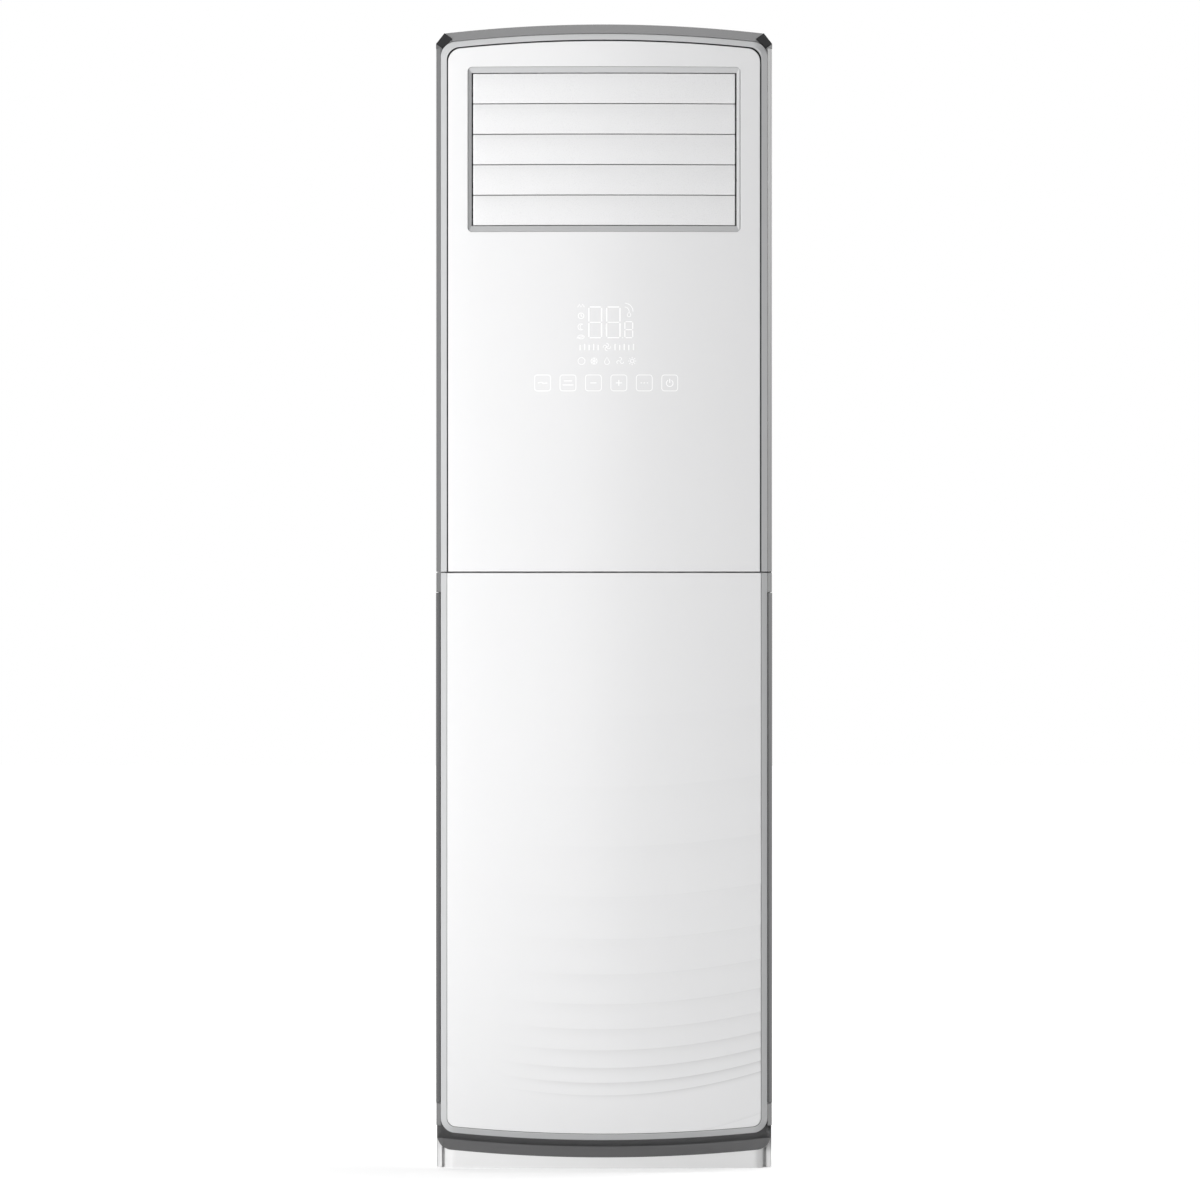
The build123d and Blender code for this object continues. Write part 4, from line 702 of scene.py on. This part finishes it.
insert_shine = 0.2
near_black = moulding("near_black", (0.012, 0.012, 0.013), 0.6, texture=0.00002)
fill(near_black.node_tree.nodes["Principled BSDF"], Specular_IOR_Level=insert_shine)
eased_copy("corner_inserts", "corner_caps", 0.0005, near_black)
eased_copy("upper_side_trims", "upper_side_bands", 0.0015, grey_paint)
eased_copy("lower_side_trims", "lower_side_bands", 0.0015, grey_paint)

# ---- Foot trim ----
# A dark grey moulding under the frame. Two facets carry the front's line back to the plinth.
foot_low, foot_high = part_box("foot_trim")
foot_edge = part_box("lower_front_frame")[0][2]
foot_break = 0.0356
steep_depth = 0.0035
gentle_depth = 0.013
foot_reach = 0.0197
foot_round = 0.0025
dark_paint = moulding("dark_paint", (0.115, 0.115, 0.117), 0.4, drift=0.03)

foot = block(
    "foot_moulding",
    (foot_low[0], cover_front, foot_low[2]),
    (foot_high[0], cover_front + foot_reach, foot_high[2]),
)
round_corners(foot, foot_high[0], foot_low[2], frame_rounding)
trim_plane(foot, (0, cover_front, foot_edge), (0, foot_break - foot_edge, -steep_depth))
trim_plane(
    foot, (0, cover_front + steep_depth, foot_break), (0, foot_low[2] - foot_break, -gentle_depth)
)
bevel(foot, foot_round, 8, lambda edge: sharp(edge) and ends(
    edge, lambda at: abs(
        (at.y - cover_front - steep_depth) * (foot_break - foot_low[2])
        - gentle_depth * (foot_break - at.z)
    ) < hair * hair
))
room = block(
    "room",
    (-frame_side - play, front_y - frame_depth, foot_edge - play),
    (frame_side + play, front_y + frame_depth + play, foot_high[2] + play),
)
round_corners(room, frame_side + play, foot_edge - play, frame_rounding)
cut(foot, room)
curve_front(foot, dipped_below=foot_high[2] - play)
finish(foot, dark_paint, angle=10)
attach(foot, "cabinet")
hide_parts("foot_trim")

# ---- Base pan ----
# A folded steel tray, powder coated white. Its bowed front is the plinth under the foot trim, and
# narrow shoulders stand in the sides beside it. Four holes in its floor take the anchors.
pan_low, pan_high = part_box("base_pan")
plinth_half = 0.2375
plinth_rounding = 0.015
plinth_groove = 0.004        # between the plinth and the shoulders beside it
shoulder_step = 0.0005       # how far the shoulders lie behind the sides' front edges
pan_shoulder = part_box("side_panel_right")[0][1] + 0.012
sheet = 0.0012
pan_floor = 0.0015
anchor_x = 0.190
anchor_y = 0.100
anchor_radius = 0.005
drill = 0.02
plinth_part = -0.11          # in front of this line the pan follows the bow
white_steel = moulding("white_steel", (0.84, 0.84, 0.84), 0.45, grain=0.0006, texture=0.00004)

pan = block("plinth_tray", (-plinth_half, pan_low[1], 0), (plinth_half, pan_high[1], pan_high[2]))
bevel(pan, plinth_rounding, 10, lambda edge: span(edge) < hair and ends(
    edge, lambda at: abs(at.y - pan_low[1]) < hair
))
cut(pan, block("wider", (pan_low[0], pan_shoulder, 0), pan_high), "UNION")
shoulder_end = plinth_half + plinth_groove
shoulder_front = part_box("side_panel_right")[0][1] + shoulder_step
for left, right in ((shoulder_end, pan_high[0]), (pan_low[0], -shoulder_end)):
    cut(pan, block(
        "shoulder", (left, shoulder_front, 0), (right, pan_shoulder + sheet, pan_high[2])
    ), "UNION")
choose(pan, "FACE", lambda face: face.normal.z > 0.9)
bpy.ops.mesh.inset(thickness=sheet)
pull(0, 0, pan_floor - pan_high[2])
close(pan)
for x in (-anchor_x, anchor_x):
    for y in (-anchor_y, anchor_y):
        bpy.ops.mesh.primitive_cylinder_add(
            vertices=32, radius=anchor_radius, depth=drill, location=(x, y, 0)
        )
        cut(pan, bpy.context.object)
curve_front(pan, bowed_before=plinth_part)
finish(pan, white_steel)
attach(pan, "cabinet")
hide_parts("base_pan")

# ---- Outlet surround ----
# A ring painted like the frames, which slopes in from the panel to the edge of the outlet.
outlet_half = 0.1965
outlet_low = 1.3997
outlet_high = 1.6267
slope_depth = 0.0045
slope_side = 0.0048
slope_top = 0.0078
ring_ease = 0.0003

ring = block(
    "outlet_ring",
    (ring_low[0], front_y, ring_low[2]),
    (ring_high[0], front_y + ring_depth, ring_high[2]),
)
for level in (ring_low[2], ring_high[2]):
    round_corners(ring, ring_high[0], level, ring_rounding)
mouth = block(
    "mouth",
    (-outlet_half, front_y + slope_depth, outlet_low),
    (outlet_half, front_y + 2 * ring_depth, outlet_high),
)
half_height = (outlet_high - outlet_low) / 2
choose(mouth, "FACE", lambda face: face.normal.y < -0.9)
pull(0, -slope_depth, 0)
bpy.ops.transform.resize(
    value=((outlet_half + slope_side) / outlet_half, 1, (half_height + slope_top) / half_height),
    center_override=(0, front_y, (outlet_low + outlet_high) / 2),
)
pull(0, -ring_depth, 0)
close(mouth)
cut(ring, mouth)
ease_edges(ring, lambda at: abs(at.y - front_y) < hair, ring_ease)
curve_front(ring)
finish(ring, silver_paint)
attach(ring, "cabinet")
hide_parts("outlet_surround")

# ---- Display and touch keys ----
# White lit figures show through the panel's skin: two large digits and a small one, rows of mode
# signs, and six touch keys. Each line is a thin print laid on the bowed face.
display_x = 0.003
print_rise = 0.00008
digit_low = 1.2336
digit_tall = 0.0455
digit_gap = 0.0013
bar_tops = (1.2230, 1.2244)
bar_foot = 1.2150
row_z = 1.1990
digit_line = 0.0009          # half the width of each kind of line
sign_line = 0.0005
key_line = 0.00055
key_z = 1.1666
key_pitch = 0.0377
key_half = 0.0118
key_corner = 0.004
lit_glow = 0.09
lit_print = moulding("lit_print", (0.95, 0.95, 0.95), 0.4, drift=0.002)
shader = lit_print.node_tree.nodes["Principled BSDF"]
fill(shader, Emission_Color=(1, 1, 1, 1), Emission_Strength=lit_glow)


def around(x, z, radius, turn):
    """The point on a circle at a turn in degrees, from the right upwards."""
    return (x + radius * cos(radians(turn)), z + radius * sin(radians(turn)))


def arc(x, z, radius, start, end, steps=12):
    """Points along an arc, in degrees from the right, turning upwards."""
    return [around(x, z, radius, start + (end - start) * step / steps) for step in range(steps + 1)]


def printed(name, lines, thickness):
    """Thin raised lines on the bowed panel, drawn as (x, z) points across its front."""
    sketch = bpy.data.curves.new(name, "CURVE")
    sketch.dimensions = "3D"
    sketch.bevel_depth = thickness
    sketch.bevel_resolution = 1
    sketch.use_fill_caps = True
    for line in lines:
        stroke = sketch.splines.new("POLY")
        stroke.points.add(len(line) - 1)
        for point, (x, z) in zip(stroke.points, line):
            point.co = (x, 0, z, 1)
    piece = bpy.data.objects.new(name, sketch)
    bpy.context.collection.objects.link(piece)
    close(piece)
    bpy.ops.object.convert(target="MESH")
    for point in piece.data.vertices:
        point.co.y = front_y + sag(point.co.x, bow_radius) + point.co.y * print_rise / thickness
    finish(piece, lit_print, angle=60)
    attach(piece, "cabinet")


def digit(left, wide, tall, gap):
    """The seven bars of a lit digit."""
    right = left + wide
    middle = digit_low + tall / 2
    top = digit_low + tall
    bars = [[(left + gap, z), (right - gap, z)] for z in (digit_low, middle, top)]
    for x in (left, right):
        bars.append([(x, digit_low + gap), (x, middle - gap)])
        bars.append([(x, middle + gap), (x, top - gap)])
    return bars


printed(
    "display_digits",
    digit(-0.0226, 0.0188, digit_tall, digit_gap) + digit(0.0038, 0.0198, digit_tall, digit_gap),
    digit_line,
)
point = [(0.0268, digit_low), (0.0278, digit_low)]
printed("display_small_digit", digit(0.0308, 0.0116, 0.0237, 0.0010) + [point], digit_line * 0.8)

# the signs to the left of the digits, from the top down
column_x = -0.0342
wave = [
    (column_x - 0.005 + 0.0025 * step, 1.2810 + 0.0022 * (-1) ** (step + 1)) for step in range(5)
]
clock = [
    arc(column_x, 1.2660, 0.0042, 0, 360, 20),
    [(column_x, 1.2686), (column_x, 1.2660), (column_x + 0.002, 1.2650)],
]
moon = [arc(column_x, 1.2496, 0.0046, 60, 300) + arc(column_x + 0.0026, 1.2496, 0.0040, 276, 84)]
leaf = [
    arc(column_x, 1.2318, 0.0058, 30, 150) + arc(column_x, 1.2376, 0.0058, 210, 330),
    [(column_x - 0.0066, 1.2330), (column_x + 0.0030, 1.2352)],
]

# to the right of them
signal = [arc(0.0303, 1.2722, radius, 0, 88) for radius in (0.0068, 0.0126)]
flame = [arc(0.0368, 1.2672, 0.0026, 150, 390) + [(0.0372, 1.2718), (0.0348, 1.2690)]]

# the row under them: a fan between two rows of bars
fan = [
    arc(*around(0.0040, 1.2198, 0.0028, turn), 0.0026, turn + 180, turn + 380, 10)
    for turn in (0, 90, 180, 270)
]
bars = [
    [(start + pitch * place, bar_tops[(place + row) % 2]), (start + pitch * place, bar_foot)]
    for row, (start, pitch) in enumerate(((-0.0356, 0.0067), (0.0162, 0.0068)))
    for place in range(5)
]

# and the lowest row, from left to right
ring_sign = [arc(-0.0335, row_z, 0.0052, 0, 360, 20)]
flake = [
    [around(-0.0148, row_z, reach, turn) for reach in (-0.0052, 0.0052)] for turn in (90, 30, 150)
] + [
    [
        around(-0.0148, row_z, 0.0054, turn - 22),
        around(-0.0148, row_z, 0.0030, turn),
        around(-0.0148, row_z, 0.0054, turn + 22),
    ]
    for turn in range(30, 390, 60)
]
drop = arc(0.0042, row_z - 0.0016, 0.0036, 148, 392, 16) + [(0.0042, row_z + 0.0058)]
drop.append(drop[0])
blades = [
    arc(*around(0.0237, row_z, 0.0032, turn), 0.0022, turn + 180, turn + 400, 10)
    for turn in (90, 210, 330)
]
sun = [arc(0.0416, row_z, 0.0026, 0, 360, 16)] + [
    [around(0.0416, row_z, reach, turn) for reach in (0.0040, 0.0060)] for turn in range(0, 360, 45)
]
printed(
    "display_signs",
    [wave] + clock + moon + leaf + signal + flame + fan + ring_sign + flake + [drop] + blades + sun,
    sign_line,
)
printed("display_bars", bars, sign_line * 1.6)

key_marks = []
key_rings = []
straight = key_half - key_corner
dash = 0.0045
for place in range(6):
    x = display_x + key_pitch * (place - 2.5)
    ring_line = []
    for turn, right, up in ((0, 1, 1), (90, -1, 1), (180, -1, -1), (270, 1, -1)):
        ring_line += arc(
            x + right * straight, key_z + up * straight, key_corner, turn, turn + 90, 6
        )
    key_rings.append(ring_line + [(x + key_half, key_z + straight)])
    level_dash = [(x - dash, key_z), (x + dash, key_z)]
    key_marks += (
        [[(x - 0.007, key_z), (x - 0.002, key_z + 0.001),
          (x + 0.002, key_z - 0.001), (x + 0.007, key_z)]],
        [[(x - 0.006, key_z + 0.003), (x + 0.006, key_z + 0.003)],
         [(x - 0.008, key_z - 0.003), (x + 0.008, key_z - 0.003)]],
        [level_dash],
        [level_dash, [(x, key_z - dash), (x, key_z + dash)]],
        [[(x + dash * step - 0.001, key_z), (x + dash * step + 0.001, key_z)]
         for step in (-1, 0, 1)],
        [arc(x, key_z - 0.0004, 0.005, 120, 420, 16), [(x, key_z), (x, key_z + 0.0062)]],
    )[place]
printed("key_outlines", key_rings, key_line)
printed("key_marks", key_marks, key_line * 1.2)

# ---- Louvres ----
# Five bowed white blades close the outlet. Black plastic pivots are pressed into their ends: a
# pin at each end, and at the left a crank arm with the pin that the link bar drives.
blade_half = 0.1945
blade_height = 0.0442
blade_thickness = 0.0075
blade_set_back = 0.005
blade_ease = 0.0011
pin_radius = 0.0025
pin_bite = 0.0025            # how far a pin reaches into the blade's end
pin_left = -0.2065
crank_radius = 0.012
crank_sheet = 0.002
crank_half = 0.00325
crank_turn = radians(45)     # the cranks point down to the rear
crank_pin = 0.002
link_sheet = 0.003
link_gap = 0.0003
louvre_white = moulding("louvre_white", (0.81, 0.81, 0.815), 0.28, drift=0.01)
black_plastic = moulding("black_plastic", (0.02, 0.02, 0.021), 0.5, texture=0.00002)


def rod(name, start, axis, length, radius, sides=24):
    """A round rod from a start point along one axis, ready to be shaped."""
    turn = {"X": (0, radians(90), 0), "Y": (radians(90), 0, 0), "Z": (0, 0, 0)}[axis]
    middle = list(start)
    middle["XYZ".index(axis)] += length / 2
    bpy.ops.mesh.primitive_cylinder_add(
        vertices=sides, radius=radius, depth=length, location=middle, rotation=turn
    )
    piece = bpy.context.object
    piece.name = name
    bpy.ops.object.transform_apply(location=True, rotation=True, scale=True)
    return piece


def weld(name, *pieces):
    """Makes one piece of several solids."""
    close(pieces[0])
    for piece in pieces:
        piece.select_set(True)
    bpy.ops.object.join()
    pieces[0].name = name
    return pieces[0]


for number in range(1, 6):
    node = f"louvre_{number}"
    body = f"louvre_blade_{number}"
    joint = next(item for item in frame["joints"] if item["name"] == f"{node}_tilt")
    pivot_y, level = joint["pos_m"][1:]
    blade = block(
        f"blade_{number}",
        (-blade_half, front_y + blade_set_back, level - blade_height / 2),
        (blade_half, front_y + blade_set_back + blade_thickness, level + blade_height / 2),
    )
    ease_edges(blade, lambda at: True, blade_ease, segments=3)
    curve_front(blade)
    finish(blade, louvre_white)
    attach(blade, body)
    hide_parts(node)

    pin_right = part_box(node)[1][0]
    seat = blade_half - pin_bite
    left_pin = rod("left_pin", (pin_left, pivot_y, level), "X", -seat - pin_left, pin_radius)
    right_pin = rod("right_pin", (seat, pivot_y, level), "X", pin_right - seat, pin_radius)
    arm = block(
        "arm",
        (-blade_half - crank_sheet, pivot_y - crank_half, level - crank_half),
        (-blade_half + link_gap, pivot_y + crank_radius + crank_half, level + crank_half),
    )
    bevel(arm, crank_half * 0.95, 6, lambda edge: span(edge) > crank_sheet / 2)
    choose(arm, "FACE")
    bpy.ops.transform.rotate(value=crank_turn, orient_axis="X", center_override=(0, pivot_y, level))
    close(arm)
    drop = crank_radius * sin(crank_turn)
    crank_left = -blade_half - crank_sheet - link_gap - link_sheet - link_gap
    crank_start = (crank_left, pivot_y + drop, level - drop)
    crank = rod("crank", crank_start, "X", crank_sheet + link_sheet, crank_pin)
    pivots = weld(f"louvre_pivots_{number}", left_pin, right_pin, arm, crank)
    finish(pivots, black_plastic)
    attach(pivots, body)
    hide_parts(node)


def dress(material, *nodes):
    """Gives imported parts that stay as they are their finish."""
    for node in nodes:
        for place in bpy.data.objects[node].material_slots:
            place.material = material


dress(black_plastic, "louvre_link_bar")

# ---- Duct and vanes ----
# A moulded hood turns the air forward. Six upright blades inside it steer the air sideways, and
# a link bar under them joins their cranks. Both stepper motors have plated cans.
inner_plastic = moulding("inner_plastic", (0.26, 0.265, 0.27), 0.55, texture=0.00003)
vane_plastic = moulding("vane_plastic", (0.30, 0.305, 0.31), 0.5, texture=0.00002)
for number in range(1, 7):
    eased_copy(
        f"vane_{number}", f"steering_vane_{number}", 0.0003, vane_plastic,
        f"vane_blade_{number}",
    )
dress(inner_plastic, "air_duct")
dress(black_plastic, "vane_link_bar")


def metal(name, colour, roughness, patch, drift=0.06, stretch=(1, 1, 1)):
    """Bare metal: patches of slightly different shade and gloss, stretched where it is rolled."""
    material, nodes, links, surface, place = new_finish(name)
    fill(surface, Metallic=1)
    turn = fill(nodes.new("ShaderNodeMapping"), Scale=stretch)
    links.new(place, turn.inputs["Vector"])
    grains = fill(nodes.new("ShaderNodeTexVoronoi"), Scale=1 / patch)
    links.new(turn.outputs["Vector"], grains.inputs["Vector"])
    level = nodes.new("ShaderNodeSeparateColor")
    links.new(grains.outputs["Color"], level.inputs["Color"])
    shade = drifting(nodes, colour, drift)
    links.new(level.outputs["Red"], shade.inputs["Factor"])
    links.new(shade.outputs["Result"], surface.inputs["Base Color"])
    gloss = fill(
        nodes.new("ShaderNodeMapRange"), To_Min=roughness * 0.75, To_Max=roughness * 1.25
    )
    links.new(level.outputs["Green"], gloss.inputs["Value"])
    links.new(gloss.outputs["Result"], surface.inputs["Roughness"])
    return material


motor_can = metal("motor_can", (0.58, 0.58, 0.58), 0.3, 0.003, drift=0.03, stretch=(1, 0.05, 1))
dress(motor_can, "louvre_motor", "vane_motor")

# ---- Side intake grilles and filters ----
# Dark grey moulded grilles curve round the front corners and swing open on pins at their rear
# edge. Behind each one a washable net in a plastic frame slides into its rails.
grille_grey = moulding("grille_grey", (0.06, 0.061, 0.063), 0.5, texture=0.00003)
for side in ("left", "right"):
    eased_copy(
        f"side_grille_{side}", f"intake_grille_{side}", 0.0004, grille_grey,
        f"grille_{side}",
    )


def woven(name, colour, pitch, roughness=0.8):
    """Woven net: threads both ways across a sheet that stands in the Y and Z directions."""
    material, nodes, links, cloth, place = new_finish(name)
    fill(cloth, Roughness=roughness)
    threads = []
    for along in ("Y", "Z"):
        wave = fill(nodes.new("ShaderNodeTexWave"), Scale=pi / (10 * pitch))
        wave.bands_direction = along
        links.new(place, wave.inputs["Vector"])
        threads.append(wave)
    over = nodes.new("ShaderNodeMath")
    over.operation = "MAXIMUM"
    for socket, wave in enumerate(threads):
        links.new(wave.outputs["Fac"], over.inputs[socket])
    shade = two_shades(nodes, [value * 0.3 for value in colour], colour)
    links.new(over.outputs["Value"], shade.inputs["Factor"])
    links.new(shade.outputs["Result"], cloth.inputs["Base Color"])
    relief = fill(nodes.new("ShaderNodeBump"), Distance=pitch / 4)
    links.new(over.outputs["Value"], relief.inputs["Height"])
    links.new(relief.outputs["Normal"], cloth.inputs["Normal"])
    return material


filter_net = woven("filter_net", (0.05, 0.05, 0.055), 0.0012)
dress(filter_net, "air_filter_left", "air_filter_right")

# ---- Cabinet sides and back ----
# The sides are folded steel sheets, powder coated white. The back is a plain galvanised sheet,
# held to the sides' flanges by ten pan head screws with crossed slots.
side_steel = moulding("side_steel", (0.80, 0.80, 0.80), 0.45, grain=0.0006, texture=0.00004)
for side in ("left", "right"):
    eased_copy(f"side_panel_{side}", f"steel_side_{side}", 0.0003, side_steel)
zinc_sheet = metal("zinc_sheet", (0.60, 0.61, 0.62), 0.38, 0.012)
eased_copy("back_panel", "steel_back", 0.0003, zinc_sheet)

screw_low, screw_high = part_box("screws")
screw_head = 0.004
screw_rim = 0.0024
screw_shank = 0.002
screw_rows = 5
slot_long = 0.0024
slot_wide = 0.0005
slot_deep = 0.0014
screw_plate = metal("screw_plate", (0.55, 0.55, 0.56), 0.28, 0.002, drift=0.03)
screw_run = screw_high[2] - screw_low[2] - 2 * screw_head
bolts = [
    (x, screw_low[2] + screw_head + row * screw_run / (screw_rows - 1))
    for x in (screw_low[0] + screw_head, screw_high[0] - screw_head)
    for row in range(screw_rows)
]
x, z = bolts[0]
face_y = screw_high[1]
seat_y = face_y - screw_rim
head = rod("head", (x, seat_y, z), "Y", screw_rim, screw_head, sides=32)
bevel(head, screw_rim * 0.6, 4, lambda edge: ends(edge, lambda at: abs(at.y - face_y) < hair))
for long_x, long_z in ((slot_long, slot_wide), (slot_wide, slot_long)):
    cut(head, block(
        "slot",
        (x - long_x, face_y - slot_deep, z - long_z),
        (x + long_x, face_y + slot_deep, z + long_z),
    ))
shank = rod("shank", (x, screw_low[1], z), "Y", seat_y - screw_low[1] + hair, screw_shank, sides=16)
bevel(shank, screw_shank / 2, 1, lambda edge: ends(
    edge, lambda at: abs(at.y - screw_low[1]) < hair
))
first_screw = weld("pan_head_screws", head, shank)
copies = [first_screw]
for bolt_x, bolt_z in bolts[1:]:
    screw = first_screw.copy()
    screw.data = first_screw.data.copy()
    bpy.context.collection.objects.link(screw)
    screw.data.transform(Matrix.Translation((bolt_x - x, 0, bolt_z - z)))
    copies.append(screw)
fixings = weld("pan_head_screws", *copies)
finish(fixings, screw_plate)
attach(fixings, "cabinet")
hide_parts("screws")

# ---- Pipes, drain and cable gland ----
# Two copper pipes with brass flare nuts, and the ribbed drain hose, leave through a rubber edged
# window in the back. A black gland beside it waits for the supply cable.
copper = metal("copper", (0.80, 0.42, 0.27), 0.25, 0.004, drift=0.08, stretch=(1, 0.2, 1))
hose_plastic = moulding("hose_plastic", (0.52, 0.52, 0.48), 0.5, grain=0.001, texture=0.00003)
soft_rubber = moulding("soft_rubber", (0.015, 0.015, 0.015), 0.7, grain=0.0005, texture=0.00004)
for node, name in (("gas_pipe", "copper_gas_pipe"), ("liquid_pipe", "copper_liquid_pipe")):
    eased_copy(node, name, 0.0003, copper)
dress(copper, "coil_bends")
dress(hose_plastic, "drain_hose")
eased_copy("pipe_grommet", "window_edging", 0.0004, soft_rubber)
eased_copy("cable_gland", "supply_gland", 0.0004, black_plastic)

# ---- Blower ----
# Two black plastic scroll shells hold a wheel of forward curved blades. The motor hangs on a
# steel bracket through four rubber mounts.
blower_plastic = moulding("blower_plastic", (0.022, 0.022, 0.024), 0.5, texture=0.00003)
zinc_steel = metal("zinc_steel", (0.62, 0.63, 0.64), 0.4, 0.010)
dress(blower_plastic, "blower_housing_rear", "blower_housing_front", "fan_wheel")
dress(zinc_steel, "motor_bracket")
dress(soft_rubber, "motor_mounts")
dress(motor_can, "fan_motor")
ground_steel = metal(
    "ground_steel", (0.62, 0.62, 0.62), 0.22, 0.002, drift=0.02, stretch=(1, 0.02, 1)
)
dress(ground_steel, "fan_shaft")

# ---- Coil and drain pan ----
# Rolled aluminium fins on copper tubes, between two galvanised end plates. The pan under them
# catches the water.
fin_foil = metal("fin_foil", (0.76, 0.77, 0.78), 0.32, 0.003, drift=0.04, stretch=(1, 0.1, 0.1))
dress(fin_foil, "coil_fins")
dress(zinc_steel, "coil_end_plates")
dress(moulding("pan_plastic", (0.024, 0.024, 0.025), 0.55, texture=0.00003), "drain_pan")

# ---- Partition, chamber cover and control box ----
# Galvanised sheets part the blower from the coil and carry the box with the electrics.
dress(zinc_steel, "partition", "chamber_cover", "control_box", "control_box_cover")

# ---- Boards and display backing ----
# Green circuit boards with tinned tracks, a black terminal block, and milky light guides behind
# the figures and the touch keys.
track_pitch = 0.0025
track_width = 0.03           # as a share of the pattern
resist_gloss = 0.35


def circuit_board(name, colour):
    """Solder resist over copper tracks, which show a little lighter."""
    material, nodes, links, resist, place = new_finish(name)
    fill(resist, Roughness=resist_gloss)
    turn = fill(nodes.new("ShaderNodeMapping"), Rotation=(radians(90), 0, 0))
    links.new(place, turn.inputs["Vector"])
    tracks = fill(
        nodes.new("ShaderNodeTexBrick"),
        Scale=1 / (track_pitch * 10),
        Mortar_Size=track_width,
        Color1=(*colour, 1),
        Color2=(*[value * 0.85 for value in colour], 1),
        Mortar=(*[value * 1.8 for value in colour], 1),
    )
    links.new(turn.outputs["Vector"], tracks.inputs["Vector"])
    links.new(tracks.outputs["Color"], resist.inputs["Base Color"])
    return material


dress(circuit_board("solder_resist", (0.012, 0.09, 0.03)), "main_board", "display_board")
dress(black_plastic, "terminal_block")
dress(soft_rubber, "touch_pads")
dress(moulding("milky_lens", (0.70, 0.71, 0.72), 0.35, drift=0.01), "display_lens")
